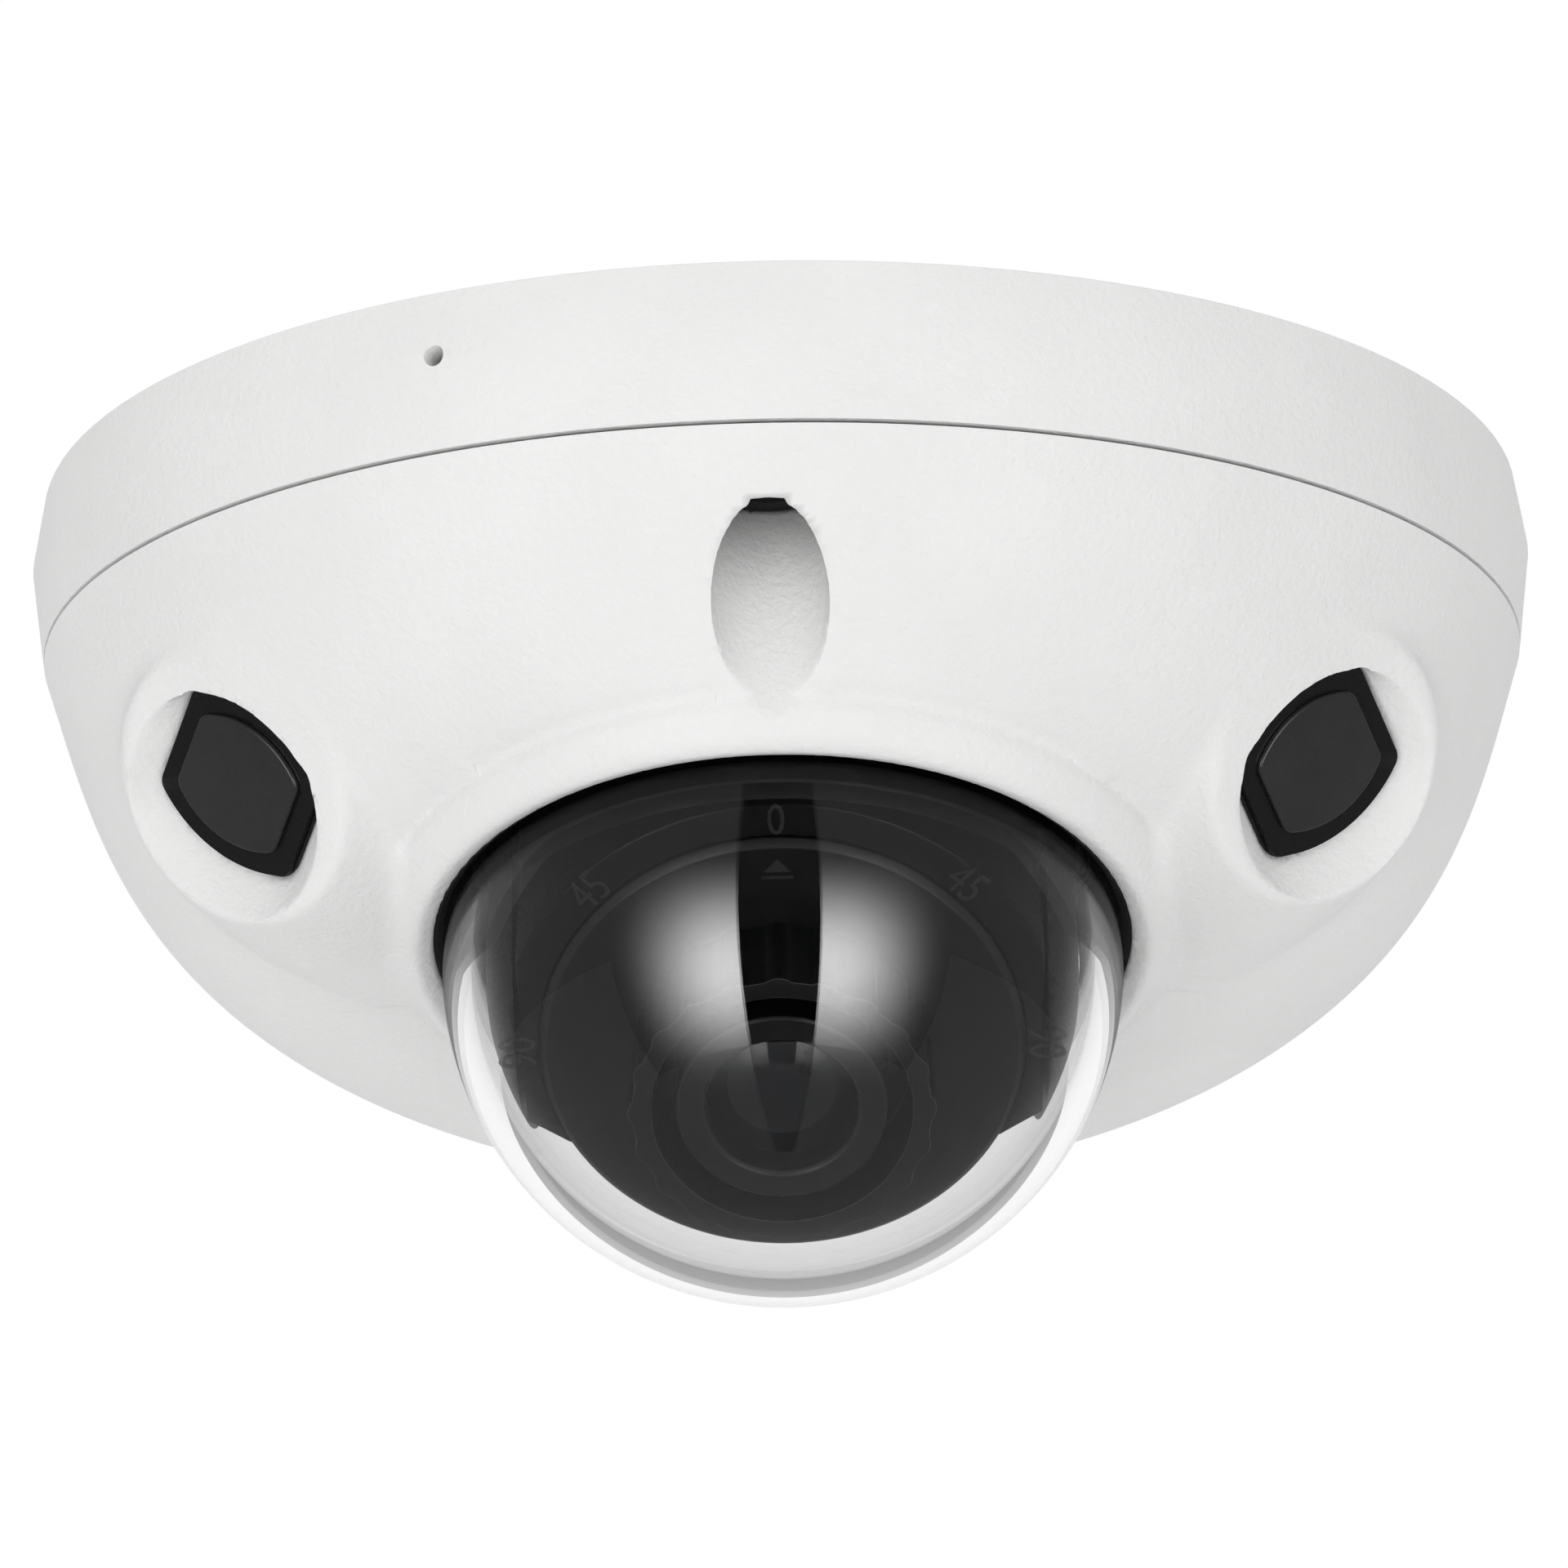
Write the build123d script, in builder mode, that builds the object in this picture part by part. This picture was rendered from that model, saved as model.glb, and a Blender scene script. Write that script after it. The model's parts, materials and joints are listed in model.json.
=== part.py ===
"""Compact dome camera for a ceiling: round cast base, slanted cover, clear dome, three-axis lens gimbal.

Frame: millimetres, +Z up. The origin is the centre of the flat mounting face, the body hangs below it,
and the dome looks down and forward, towards -Y.
"""
import os
from math import asin, cos, degrees, radians, sin, sqrt

from build123d import *

os.makedirs("parts", exist_ok=True)

# ---------------------------------------------------------------- driving dimensions (mm, degrees)
BASE_TOP_R = 54.2        # rim radius at the mounting face
BASE_MAX_R = 55.0        # widest ring of the base
BASE_MAX_Z = -4.9
SEAM_R = 54.2            # radius of base and cover at the seam
SEAM_Z = -11.65
SEAM_GAP = 0.3
BASE_WALL = 2.6
FLOOR_T = 2.6            # thickness of the base plate

DOME_TILT = 15.6         # dome axis, measured from straight down towards the front
DOME_Y, DOME_Z = -17.3, -39.6
DOME_R = 24.15           # outside of the clear dome
DOME_WALL = 2.0
OPENING_R = 24.8         # opening in the collar
OPENING_H = -1.0         # heights along the dome axis are measured from the sphere centre
COLLAR_FOOT_R = 28.0
COLLAR_FOOT_H = -3.8
PLATE_H = -6.2           # inner face of the plate around the dome

SCREW_PCR = 47.4         # cover screws sit on this radius
SCREW_ANGLES = (-90, 30, 150)
GROOVE_R = 4.05          # screw access groove
GROOVE_TOP_Z = -14.4

POD_CENTRE = (38.0, -24.9, -27.5)    # centre of the right infrared window
POD_AXIS = (0.57, -0.67, -0.48)      # direction that the right window faces
POD_SIDE = (0.746, 0.174, 0.642)     # direction across the window, outward and up

LENS_ANGLE = 47.5        # lens axis at rest, below horizontal
TURRET_R = 16.55
TURRET_FRONT = 11.15     # distance of the turret face from the dome centre
GIMBAL_R = 21.2          # everything in the gimbal turns inside this sphere

# ---------------------------------------------------------------- frames and helpers
CENTRE = Vector(0, DOME_Y, DOME_Z)
DOME_DIR = Vector(0, -sin(radians(DOME_TILT)), -cos(radians(DOME_TILT)))
LENS_DIR = Vector(0, -cos(radians(LENS_ANGLE)), -sin(radians(LENS_ANGLE)))
DOME_AXIS = Axis(CENTRE, DOME_DIR)
LENS_AXIS = Axis(CENTRE, LENS_DIR)


def facing(origin, direction, x_dir=(1, 0, 0)):
    """Plane whose normal is the given direction."""
    return Plane(origin=origin, x_dir=x_dir, z_dir=direction)


def side_of(direction):
    """Plane through the dome centre that holds the axis, with local x = radius and local y = height."""
    return Plane(origin=CENTRE, x_dir=(1, 0, 0), z_dir=Vector(1, 0, 0).cross(direction))


def dome_plane(height):
    return facing(CENTRE + DOME_DIR * height, DOME_DIR)


def lens_plane(height):
    return facing(CENTRE + LENS_DIR * height, LENS_DIR)


def section(plane, *points):
    """Closed straight-sided section on a plane, for turning about an axis."""
    with BuildSketch(plane) as sketch:
        with BuildLine():
            Polyline(*points, close=True)
        make_face()
    return sketch.sketch


def ring_section(plane, inner, outer, low, high):
    """Rectangular section of a ring."""
    return section(plane, (inner, low), (outer, low), (outer, high), (inner, high))


DOME_SIDE = side_of(DOME_DIR)
LENS_SIDE = side_of(LENS_DIR)


def finish(builder, name):
    builder.part.label = name
    export_step(builder.part, f"parts/{name}.step")


# ---------------------------------------------------------------- skin of the cover
# Each ring of the skin is an ellipse that leans more and more towards the dome. A front point and a
# back point (y, z) and a half width set it, and four such rings steer one smooth surface.
def dome_ring(radius, height):
    middle = CENTRE + DOME_DIR * height
    front = (middle.Y - radius * cos(radians(DOME_TILT)), middle.Z + radius * sin(radians(DOME_TILT)))
    back = (middle.Y + radius * cos(radians(DOME_TILT)), middle.Z - radius * sin(radians(DOME_TILT)))
    return front, back, radius


SKIN = (
    ((-SEAM_R, SEAM_Z), (SEAM_R, SEAM_Z), SEAM_R),
    ((-51.0, -17.5), (54.0, -26.9), 50.8),
    ((-47.3, -23.1), (41.6, -48.3), 48.4),
    dome_ring(COLLAR_FOOT_R, COLLAR_FOOT_H),
)
LINING = (
    ((-51.7, SEAM_Z), (51.7, SEAM_Z), 51.7),
    ((-49.0, -16.2), (51.6, -26.0), 48.4),
    ((-45.4, -21.9), (40.6, -45.9), 46.3),
    dome_ring(27.5, PLATE_H),
)
SKIN_STEPS = 6


def skin_rings(controls):
    """Planes and half widths of the ellipses along the skin."""
    rings = []
    for step in range(SKIN_STEPS + 1):
        u = step / SKIN_STEPS
        weights = ((1 - u) ** 3, 3 * u * (1 - u) ** 2, 3 * u * u * (1 - u), u ** 3)
        front_y = sum(w * c[0][0] for w, c in zip(weights, controls))
        front_z = sum(w * c[0][1] for w, c in zip(weights, controls))
        back_y = sum(w * c[1][0] for w, c in zip(weights, controls))
        back_z = sum(w * c[1][1] for w, c in zip(weights, controls))
        half_width = sum(w * c[2] for w, c in zip(weights, controls))
        centre = Vector(0, (front_y + back_y) / 2, (front_z + back_z) / 2)
        forward = Vector(0, front_y - back_y, front_z - back_z)
        plane = Plane(origin=centre, x_dir=(1, 0, 0), z_dir=Vector(1, 0, 0).cross(forward))
        rings.append((plane, half_width, forward.length / 2))
    return rings


def skin_body(controls):
    """Solid bowl through the rings, closed by flat ends."""
    outlines = []
    for plane, half_width, half_length in skin_rings(controls):
        with BuildSketch(plane) as outline:
            with BuildLine():
                EllipticalCenterArc((0, 0), half_width, half_length, start_angle=-90, arc_size=180)
                EllipticalCenterArc((0, 0), half_width, half_length, start_angle=90, arc_size=180)
            make_face()
        outlines.append(outline.sketch)
    return loft(outlines, mode=Mode.PRIVATE)


# ---------------------------------------------------------------- infrared pods
POD_RIM_H = 1.2          # heights along a pod's axis are measured from the centre of its window
POD_TOP_R, POD_FOOT_R = 10.0, 15.4
POD_FOOT_H = -8.0
POD_FOOT_SHIFT = 1.8     # the foot is drawn towards the back of the camera
POD_RIM_R = 8.5
POD_RIM_SHIFT = 1.9      # the recess opens towards the low outer side of the window
WINDOW_HALF = 6.4        # half distance between the straight sides
WINDOW_BULGE = 6.3       # half length over the bulged ends
WINDOW_STRAIGHT = 4.3
WINDOW_TOP_H = -0.7
WINDOW_T = 1.7
LEDGE_T = 1.1


def pod_plane(side, height):
    """Plane facing out of the pod; side is +1 for the right pod and -1 for the left one."""
    direction = Vector(side * POD_AXIS[0], POD_AXIS[1], POD_AXIS[2]).normalized()
    across = Vector(side * POD_SIDE[0], POD_SIDE[1], POD_SIDE[2])
    origin = Vector(side * POD_CENTRE[0], POD_CENTRE[1], POD_CENTRE[2]) + direction * height
    return Plane(origin=origin, x_dir=across, z_dir=direction)


def window_outline(plane, inset=0.0):
    """Two straight sides, two bulged ends and small corners."""
    half, straight, bulge = WINDOW_HALF - inset, WINDOW_STRAIGHT - inset * 0.8, WINDOW_BULGE - inset
    with BuildSketch(plane) as sketch:
        with BuildLine():
            Line((-half, -straight), (-half, straight))
            ThreePointArc((-half, straight), (0, bulge), (half, straight))
            Line((half, straight), (half, -straight))
            ThreePointArc((half, -straight), (0, -bulge), (-half, -straight))
        make_face()
        fillet(sketch.vertices(), 1.1)
    return sketch.sketch


SIDES = (("left", -1), ("right", 1))

CLAMP_ANGLES = (40, 140, 220, 320)
CLAMP_PCR = 29.7
CLAMP_EAR_R = 2.1
CLAMP_SEAT_H = -8.5
CLAMP_SCREW_R = 0.8


def screw_circles(plane, radius):
    """One circle for each cover screw."""
    with BuildSketch(plane) as sketch:
        for angle in SCREW_ANGLES:
            with PolarLocations(SCREW_PCR, 1, start_angle=angle):
                Circle(radius)
    return sketch.sketch


def clamp_circles(height, radius):
    """One circle for each screw of the clamp ring."""
    with BuildSketch(dome_plane(height)) as sketch:
        for angle in CLAMP_ANGLES:
            with PolarLocations(CLAMP_PCR, 1, start_angle=angle):
                Circle(radius)
    return sketch.sketch


# ---------------------------------------------------------------- base housing
BASE_EDGE_Z = SEAM_Z + SEAM_GAP / 2
COVER_EDGE_Z = SEAM_Z - SEAM_GAP / 2
BASE_INNER_R = SEAM_R - BASE_WALL
BOSS_END_Z = -9.0
BOARD_TOP_Z = -6.0
BOARD_T = 1.6
BOARD_LOW_Z = BOARD_TOP_Z - BOARD_T
BOARD_POSTS = ((-22, -16), (22, -16), (-22, 0), (22, 0))
POST_R = 3.0
PEGS = ((0, 14), (-26, 14), (26, 14))    # plain posts that the board also rests on
PEG_R = 2.4
BOARD_SCREW_R = 1.25
COVER_BOSS_R = 4.4
TAP_DEPTH = 4.4
GROMMET_Y = 27.0
GROMMET_R = 8.0
MOUNT_PCR = 42.0
MOUNT_HOLE_R = 2.25
MIC_ANGLE = 24.6         # left of the front
MIC_HOLE_R = 0.75
MIC_DIR = Vector(-sin(radians(MIC_ANGLE)), -cos(radians(MIC_ANGLE)), 0)
MIC_PLANE = facing(MIC_DIR * 47.4 + Vector(0, 0, BASE_MAX_Z), MIC_DIR, (0, 0, 1))
GASKET_IN, GASKET_OUT = 52.2, 53.4
GASKET_TOP_Z = -10.3
CHIP_XY = (0.0, -6.0)
CHIP_SIZE = 12.0
CHIP_H = 1.4
PAD_T = 1.0              # thermal pad between the processor and its island on the base
UPRIGHT = Plane.XZ       # local x = radius, local y = height

with BuildPart() as base_housing:
    with BuildSketch(UPRIGHT):
        with BuildLine():
            Polyline(
                (0, 0), (BASE_TOP_R, 0), (BASE_MAX_R, BASE_MAX_Z), (SEAM_R, BASE_EDGE_Z),
                (BASE_INNER_R, BASE_EDGE_Z), (BASE_INNER_R, -FLOOR_T), (0, -FLOOR_T), close=True,
            )
        make_face()
    revolve(axis=Axis.Z)
    extrude(screw_circles(Plane.XY.offset(BOSS_END_Z), COVER_BOSS_R), amount=-BOSS_END_Z - FLOOR_T / 2)
    with BuildSketch(Plane.XY.offset(BOARD_TOP_Z)):
        with Locations(*BOARD_POSTS):
            Circle(POST_R)
        with Locations(*PEGS):
            Circle(PEG_R)
    extrude(amount=-BOARD_TOP_Z - FLOOR_T / 2)
    with BuildSketch(Plane.XY.offset(BOARD_TOP_Z + CHIP_H + PAD_T)):
        with Locations(CHIP_XY):
            Rectangle(CHIP_SIZE + 2, CHIP_SIZE + 2)
    extrude(amount=1.5)
    # tapped holes of the cover screws and of the gimbal screws
    extrude(screw_circles(Plane.XY.offset(BOSS_END_Z), BOARD_SCREW_R), amount=TAP_DEPTH + 2,
            mode=Mode.SUBTRACT)
    with BuildSketch(Plane.XY.offset(BOARD_TOP_Z)):
        with Locations(*BOARD_POSTS):
            Circle(BOARD_SCREW_R)
    extrude(amount=TAP_DEPTH, mode=Mode.SUBTRACT)
    # cable inlet and ceiling screw holes
    with BuildSketch(Plane.XY):
        with Locations((0, GROMMET_Y)):
            Circle(GROMMET_R)
        with PolarLocations(MOUNT_PCR, 3, start_angle=-30):
            Circle(MOUNT_HOLE_R)
    extrude(amount=-FLOOR_T, mode=Mode.SUBTRACT)
    # microphone hole through the widest part of the rim
    with BuildSketch(MIC_PLANE):
        Circle(MIC_HOLE_R)
    extrude(amount=BASE_MAX_R, mode=Mode.SUBTRACT)
    # channel of the main gasket
    revolve(ring_section(UPRIGHT, GASKET_IN, GASKET_OUT, BASE_EDGE_Z - 1, GASKET_TOP_Z),
            axis=Axis.Z, mode=Mode.SUBTRACT)
    fillet(base_housing.edges().filter_by(GeomType.CIRCLE).sort_by(Axis.Z)[-1:], 0.2)
finish(base_housing, "base_housing")

with BuildPart() as housing_gasket:
    revolve(ring_section(UPRIGHT, GASKET_IN, GASKET_OUT, COVER_EDGE_Z, GASKET_TOP_Z), axis=Axis.Z)
finish(housing_gasket, "housing_gasket")

with BuildPart() as cable_grommet:
    with BuildSketch(UPRIGHT):
        with BuildLine():
            Polyline(
                (4.0, 0), (GROMMET_R, 0), (GROMMET_R, -FLOOR_T), (9.6, -FLOOR_T), (9.6, -3.8),
                (7.4, -5.0), (5.4, -5.4), (4.0, -5.0), close=True,
            )
        make_face()
    revolve(axis=Axis.Z)
cable_grommet.part = cable_grommet.part.moved(Location((0, GROMMET_Y, 0)))
finish(cable_grommet, "cable_grommet")

# ---------------------------------------------------------------- cover
skin = skin_body(SKIN)
lining = skin_body(LINING)
SEAL_T, SEAL_W = 0.3, 0.25
WINDOW_FLOOR_H = WINDOW_TOP_H - WINDOW_T - SEAL_T
LEDGE_W = 1.3
LEDGE_LOW_H = WINDOW_FLOOR_H - LEDGE_T
IR_BOARD_H = LEDGE_LOW_H - 1.2
IR_BACK_H = IR_BOARD_H - 2.4
TUBE_R = 8.4
IR_BOARD_R, IR_CLEAR_R = 7.3, 6.4
COLUMN_R = 5.6
SPIGOT_R = 3.9
HEAD_TOP_Z = -11.0
HEAD_R, HEAD_H, HEAD_KEY_R = 2.2, 2.0, 1.2
SHANK_R = 1.2


def pod_blister(side):
    """Sloped blister around a window."""
    with BuildSketch(pod_plane(side, POD_RIM_H)) as rim:
        Circle(POD_TOP_R)
    with BuildSketch(pod_plane(side, POD_FOOT_H)) as foot:
        with Locations((0, -POD_FOOT_SHIFT * side)):
            Circle(POD_FOOT_R)
    return loft([foot.sketch, rim.sketch], mode=Mode.PRIVATE)


def pod_recess(side):
    """Funnel from the rim of the pod down to the window."""
    with BuildSketch(pod_plane(side, POD_RIM_H)) as rim:
        with Locations((0, -POD_RIM_SHIFT * side)):
            Circle(POD_RIM_R)
    return loft([window_outline(pod_plane(side, WINDOW_TOP_H)), rim.sketch], mode=Mode.PRIVATE)


columns = extrude(screw_circles(Plane.XY.offset(COVER_EDGE_Z), COLUMN_R), amount=-40).intersect(skin)
clamp_bosses = extrude(clamp_circles(CLAMP_SEAT_H, CLAMP_EAR_R), amount=6).intersect(skin)

with BuildPart() as cover:
    add(skin)
    revolve(
        section(
            DOME_SIDE, (23.5, PLATE_H), (28.0, PLATE_H), (28.0, COLLAR_FOOT_H), (27.75, -2.9),
            (25.9, -1.15), (25.5, OPENING_H), (OPENING_R, -1.4), (23.5, -1.4),
        ),
        axis=DOME_AXIS,
    )
    for _, side in SIDES:
        add(pod_blister(side))
    add(lining, mode=Mode.SUBTRACT)
    # columns of the cover screws, tubes behind the windows, bosses of the clamp ring
    add(columns)
    add(clamp_bosses)
    for _, side in SIDES:
        with BuildSketch(pod_plane(side, IR_BACK_H)):
            Circle(TUBE_R)
        extrude(amount=-IR_BACK_H - 1.0)
    # flat edge towards the base, then the locating spigots that stand above it
    with BuildSketch(Plane.XY.offset(COVER_EDGE_Z)):
        Circle(60)
    extrude(amount=20, mode=Mode.SUBTRACT)
    extrude(screw_circles(Plane.XY.offset(BOSS_END_Z), SPIGOT_R), amount=COVER_EDGE_Z - BOSS_END_Z - 0.5)
    # opening of the dome and room for its flange
    with BuildSketch(dome_plane(-20)):
        Circle(OPENING_R)
    extrude(amount=30, mode=Mode.SUBTRACT)
    # screw access grooves, head seats and screw holes
    for radius, top in ((GROOVE_R, GROOVE_TOP_Z), (HEAD_R + 0.2, HEAD_TOP_Z), (SHANK_R + 0.1, 0)):
        extrude(screw_circles(Plane.XY.offset(top), radius), amount=-60, mode=Mode.SUBTRACT)
    # windows: recess, seat, light opening, board seat
    for _, side in SIDES:
        add(pod_recess(side), mode=Mode.SUBTRACT)
        with BuildSketch(pod_plane(side, POD_RIM_H)):
            with Locations((0, -POD_RIM_SHIFT * side)):
                Circle(POD_RIM_R)
        extrude(amount=8, mode=Mode.SUBTRACT)
        extrude(window_outline(pod_plane(side, WINDOW_FLOOR_H)), amount=3, mode=Mode.SUBTRACT)
        extrude(window_outline(pod_plane(side, WINDOW_FLOOR_H), LEDGE_W), amount=-LEDGE_T, mode=Mode.SUBTRACT)
        for radius, top, depth in (
            (IR_CLEAR_R, LEDGE_LOW_H, LEDGE_LOW_H - IR_BOARD_H), (IR_BOARD_R, IR_BOARD_H, 8.4),
        ):
            with BuildSketch(pod_plane(side, top)):
                Circle(radius)
            extrude(amount=-depth, mode=Mode.SUBTRACT)
    # threaded holes of the clamp screws
    extrude(clamp_circles(CLAMP_SEAT_H, CLAMP_SCREW_R), amount=2.0, mode=Mode.SUBTRACT)
finish(cover, "cover")

with BuildPart() as cover_screws:
    extrude(screw_circles(Plane.XY.offset(HEAD_TOP_Z), HEAD_R), amount=-HEAD_H)
    extrude(screw_circles(Plane.XY.offset(HEAD_TOP_Z), SHANK_R), amount=-HEAD_TOP_Z - 3.0)
    with BuildSketch(Plane.XY.offset(HEAD_TOP_Z - HEAD_H)):
        for angle in SCREW_ANGLES:
            with PolarLocations(SCREW_PCR, 1, start_angle=angle):
                RegularPolygon(HEAD_KEY_R, 6)
    extrude(amount=0.6 * HEAD_H, mode=Mode.SUBTRACT)
finish(cover_screws, "cover_screws")

# ---------------------------------------------------------------- dome
DOME_INNER_R = DOME_R - DOME_WALL
FLANGE_R = 27.0
FLANGE_TOP_H = PLATE_H - 0.7
CLAMP_T = 1.6
CLAMP_RING_IN, CLAMP_RING_OUT = 22.4, 27.6
CLAMP_HEAD_R, CLAMP_HEAD_H = 1.6, 1.2

with BuildPart() as dome_bubble:
    with BuildSketch(DOME_SIDE):
        with BuildLine():
            CenterArc((0, 0), DOME_R, 0, 90)
            Line((0, DOME_R), (0, DOME_INNER_R))
            CenterArc((0, 0), DOME_INNER_R, 0, 90)
            Polyline(
                (DOME_INNER_R, 0), (DOME_INNER_R, CLAMP_SEAT_H), (FLANGE_R, CLAMP_SEAT_H),
                (FLANGE_R, FLANGE_TOP_H), (DOME_R, FLANGE_TOP_H), (DOME_R, 0),
            )
        make_face()
    revolve(axis=DOME_AXIS)
finish(dome_bubble, "dome_bubble")

with BuildPart() as dome_gasket:
    revolve(
        section(
            DOME_SIDE, (DOME_R, FLANGE_TOP_H), (FLANGE_R, FLANGE_TOP_H), (FLANGE_R, PLATE_H),
            (OPENING_R, PLATE_H), (OPENING_R, -2.1), (24.6, -1.9), (DOME_R, -2.3),
        ),
        axis=DOME_AXIS,
    )
finish(dome_gasket, "dome_gasket")

with BuildPart() as dome_clamp_ring:
    revolve(ring_section(DOME_SIDE, CLAMP_RING_IN, CLAMP_RING_OUT, CLAMP_SEAT_H - CLAMP_T, CLAMP_SEAT_H),
            axis=DOME_AXIS)
    extrude(clamp_circles(CLAMP_SEAT_H - CLAMP_T, CLAMP_EAR_R), amount=CLAMP_T)
    extrude(clamp_circles(CLAMP_SEAT_H - CLAMP_T, CLAMP_SCREW_R), amount=CLAMP_T, mode=Mode.SUBTRACT)
finish(dome_clamp_ring, "dome_clamp_ring")

with BuildPart() as clamp_screws:
    extrude(clamp_circles(CLAMP_SEAT_H - CLAMP_T, CLAMP_HEAD_R), amount=-CLAMP_HEAD_H)
    extrude(clamp_circles(CLAMP_SEAT_H - CLAMP_T, CLAMP_SCREW_R), amount=CLAMP_T + 1.8)
finish(clamp_screws, "clamp_screws")

# ---------------------------------------------------------------- infrared windows, boards and emitters
WINDOW_PROUD = 0.7       # the border of the window stands this far above its seat's lip
PANEL_H = 0.5            # and its inner panel this far above the border
PANEL_INSET = 1.7
IR_BOARD_T = 1.0
EMITTER_PITCH, EMITTER_BODY, EMITTER_BODY_H, EMITTER_LENS_R, EMITTER_LENS_H = 5.2, 3.4, 0.8, 1.4, 0.9
FIN_W, FIN_PITCH, FIN_DEPTH = 1.0, 2.8, 0.8

for name, side in SIDES:
    with BuildPart() as window:
        pane = window_outline(pod_plane(side, WINDOW_FLOOR_H + SEAL_T), SEAL_W)
        extrude(pane, amount=WINDOW_T + WINDOW_PROUD)
        extrude(window_outline(pod_plane(side, WINDOW_TOP_H + WINDOW_PROUD), PANEL_INSET), amount=PANEL_H)
        fillet(window.edges().group_by(Axis(Vector(0, 0, 0), pod_plane(side, 0).z_dir))[-1], 0.25)
    finish(window, f"ir_window_{name}")

    with BuildPart() as seal:
        extrude(window_outline(pod_plane(side, WINDOW_FLOOR_H)), amount=WINDOW_T + SEAL_T)
        pane_room = window_outline(pod_plane(side, WINDOW_FLOOR_H + SEAL_T), SEAL_W)
        extrude(pane_room, amount=WINDOW_T, mode=Mode.SUBTRACT)
        extrude(window_outline(pod_plane(side, WINDOW_FLOOR_H), LEDGE_W), amount=3, mode=Mode.SUBTRACT)
    finish(seal, f"ir_window_gasket_{name}")

    with BuildPart() as board:
        with BuildSketch(pod_plane(side, IR_BOARD_H)):
            Circle(IR_BOARD_R)
        extrude(amount=-IR_BOARD_T)
    finish(board, f"ir_board_{name}")

    with BuildPart() as bracket:
        with BuildSketch(pod_plane(side, IR_BACK_H)):
            Circle(IR_BOARD_R)
        extrude(amount=IR_BOARD_H - IR_BOARD_T - IR_BACK_H)
        with BuildSketch(pod_plane(side, IR_BACK_H)):
            with GridLocations(0, FIN_PITCH, 1, 4):
                Rectangle(1.2 * IR_BOARD_R, FIN_W)
        extrude(amount=FIN_DEPTH, mode=Mode.SUBTRACT)
    finish(bracket, f"ir_heat_spreader_{name}")

    with BuildPart() as emitters:
        with BuildSketch(pod_plane(side, IR_BOARD_H)):
            with GridLocations(EMITTER_PITCH, 0, 2, 1):
                Rectangle(EMITTER_BODY, EMITTER_BODY)
        extrude(amount=EMITTER_BODY_H)
        with BuildSketch(pod_plane(side, IR_BOARD_H + EMITTER_BODY_H)):
            with GridLocations(EMITTER_PITCH, 0, 2, 1):
                Circle(EMITTER_LENS_R)
        extrude(amount=EMITTER_LENS_H, taper=18)
    finish(emitters, f"ir_emitters_{name}")

# ---------------------------------------------------------------- microphone
MIC_CAN_R, MIC_CAN_H = 1.5, 2.6
MIC_BOOT_R, MIC_BOOT_LENGTH = 2.2, 6.0

with BuildPart() as microphone_boot:
    with BuildSketch(MIC_PLANE):
        Circle(MIC_BOOT_R)
    extrude(amount=MIC_BOOT_LENGTH)
    with BuildSketch(Plane.XY.offset(SEAM_Z)):
        Circle(BASE_INNER_R)
    extrude(amount=-SEAM_Z, mode=Mode.INTERSECT)
    with BuildSketch(MIC_PLANE):
        Circle(MIC_CAN_R)
    extrude(amount=MIC_CAN_H, mode=Mode.SUBTRACT)
    with BuildSketch(MIC_PLANE):
        Circle(MIC_HOLE_R)
    extrude(amount=MIC_BOOT_LENGTH, mode=Mode.SUBTRACT)
finish(microphone_boot, "microphone_boot")

with BuildPart() as microphone:
    with BuildSketch(MIC_PLANE):
        Circle(MIC_CAN_R)
    extrude(amount=MIC_CAN_H)
finish(microphone, "microphone")

# ---------------------------------------------------------------- boards in the base
BOARD_R = 38.0
NOTCH_W, NOTCH_START_Y = 21.0, 17.0      # the board leaves room for the grommet

with BuildPart() as main_board:
    with BuildSketch(Plane.XY.offset(BOARD_LOW_Z)):
        Circle(BOARD_R)
        with Locations((0, NOTCH_START_Y)):
            Rectangle(NOTCH_W, BOARD_R, align=(Align.CENTER, Align.MIN), mode=Mode.SUBTRACT)
        with Locations(*BOARD_POSTS):
            Circle(BOARD_SCREW_R, mode=Mode.SUBTRACT)
    extrude(amount=BOARD_T)
    fillet(main_board.edges().filter_by(Axis.Z).group_by(Axis.Y)[-1], 1.5)
finish(main_board, "main_board")

with BuildPart() as processor:
    with BuildSketch(Plane.XY.offset(BOARD_TOP_Z)):
        with Locations(CHIP_XY):
            Rectangle(CHIP_SIZE, CHIP_SIZE)
    extrude(amount=CHIP_H)
    chamfer(processor.edges().group_by(Axis.Z)[-1], 0.2)
finish(processor, "processor")

with BuildPart() as thermal_pad:
    with BuildSketch(Plane.XY.offset(BOARD_TOP_Z + CHIP_H)):
        with Locations(CHIP_XY):
            Rectangle(CHIP_SIZE - 1, CHIP_SIZE - 1)
    extrude(amount=PAD_T)
finish(thermal_pad, "thermal_pad")

JACK_X, JACK_Y = (-29.0, -14.0), (7.0, 23.0)
JACK_H = 12.0
JACK_LOW_Z = BOARD_LOW_Z - JACK_H
SOCKET_DEPTH, SOCKET_W, SOCKET_H, LATCH_W, LATCH_H = 11.0, 11.8, 7.0, 6.0, 2.4
jack_middle_y = sum(JACK_Y) / 2

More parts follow.
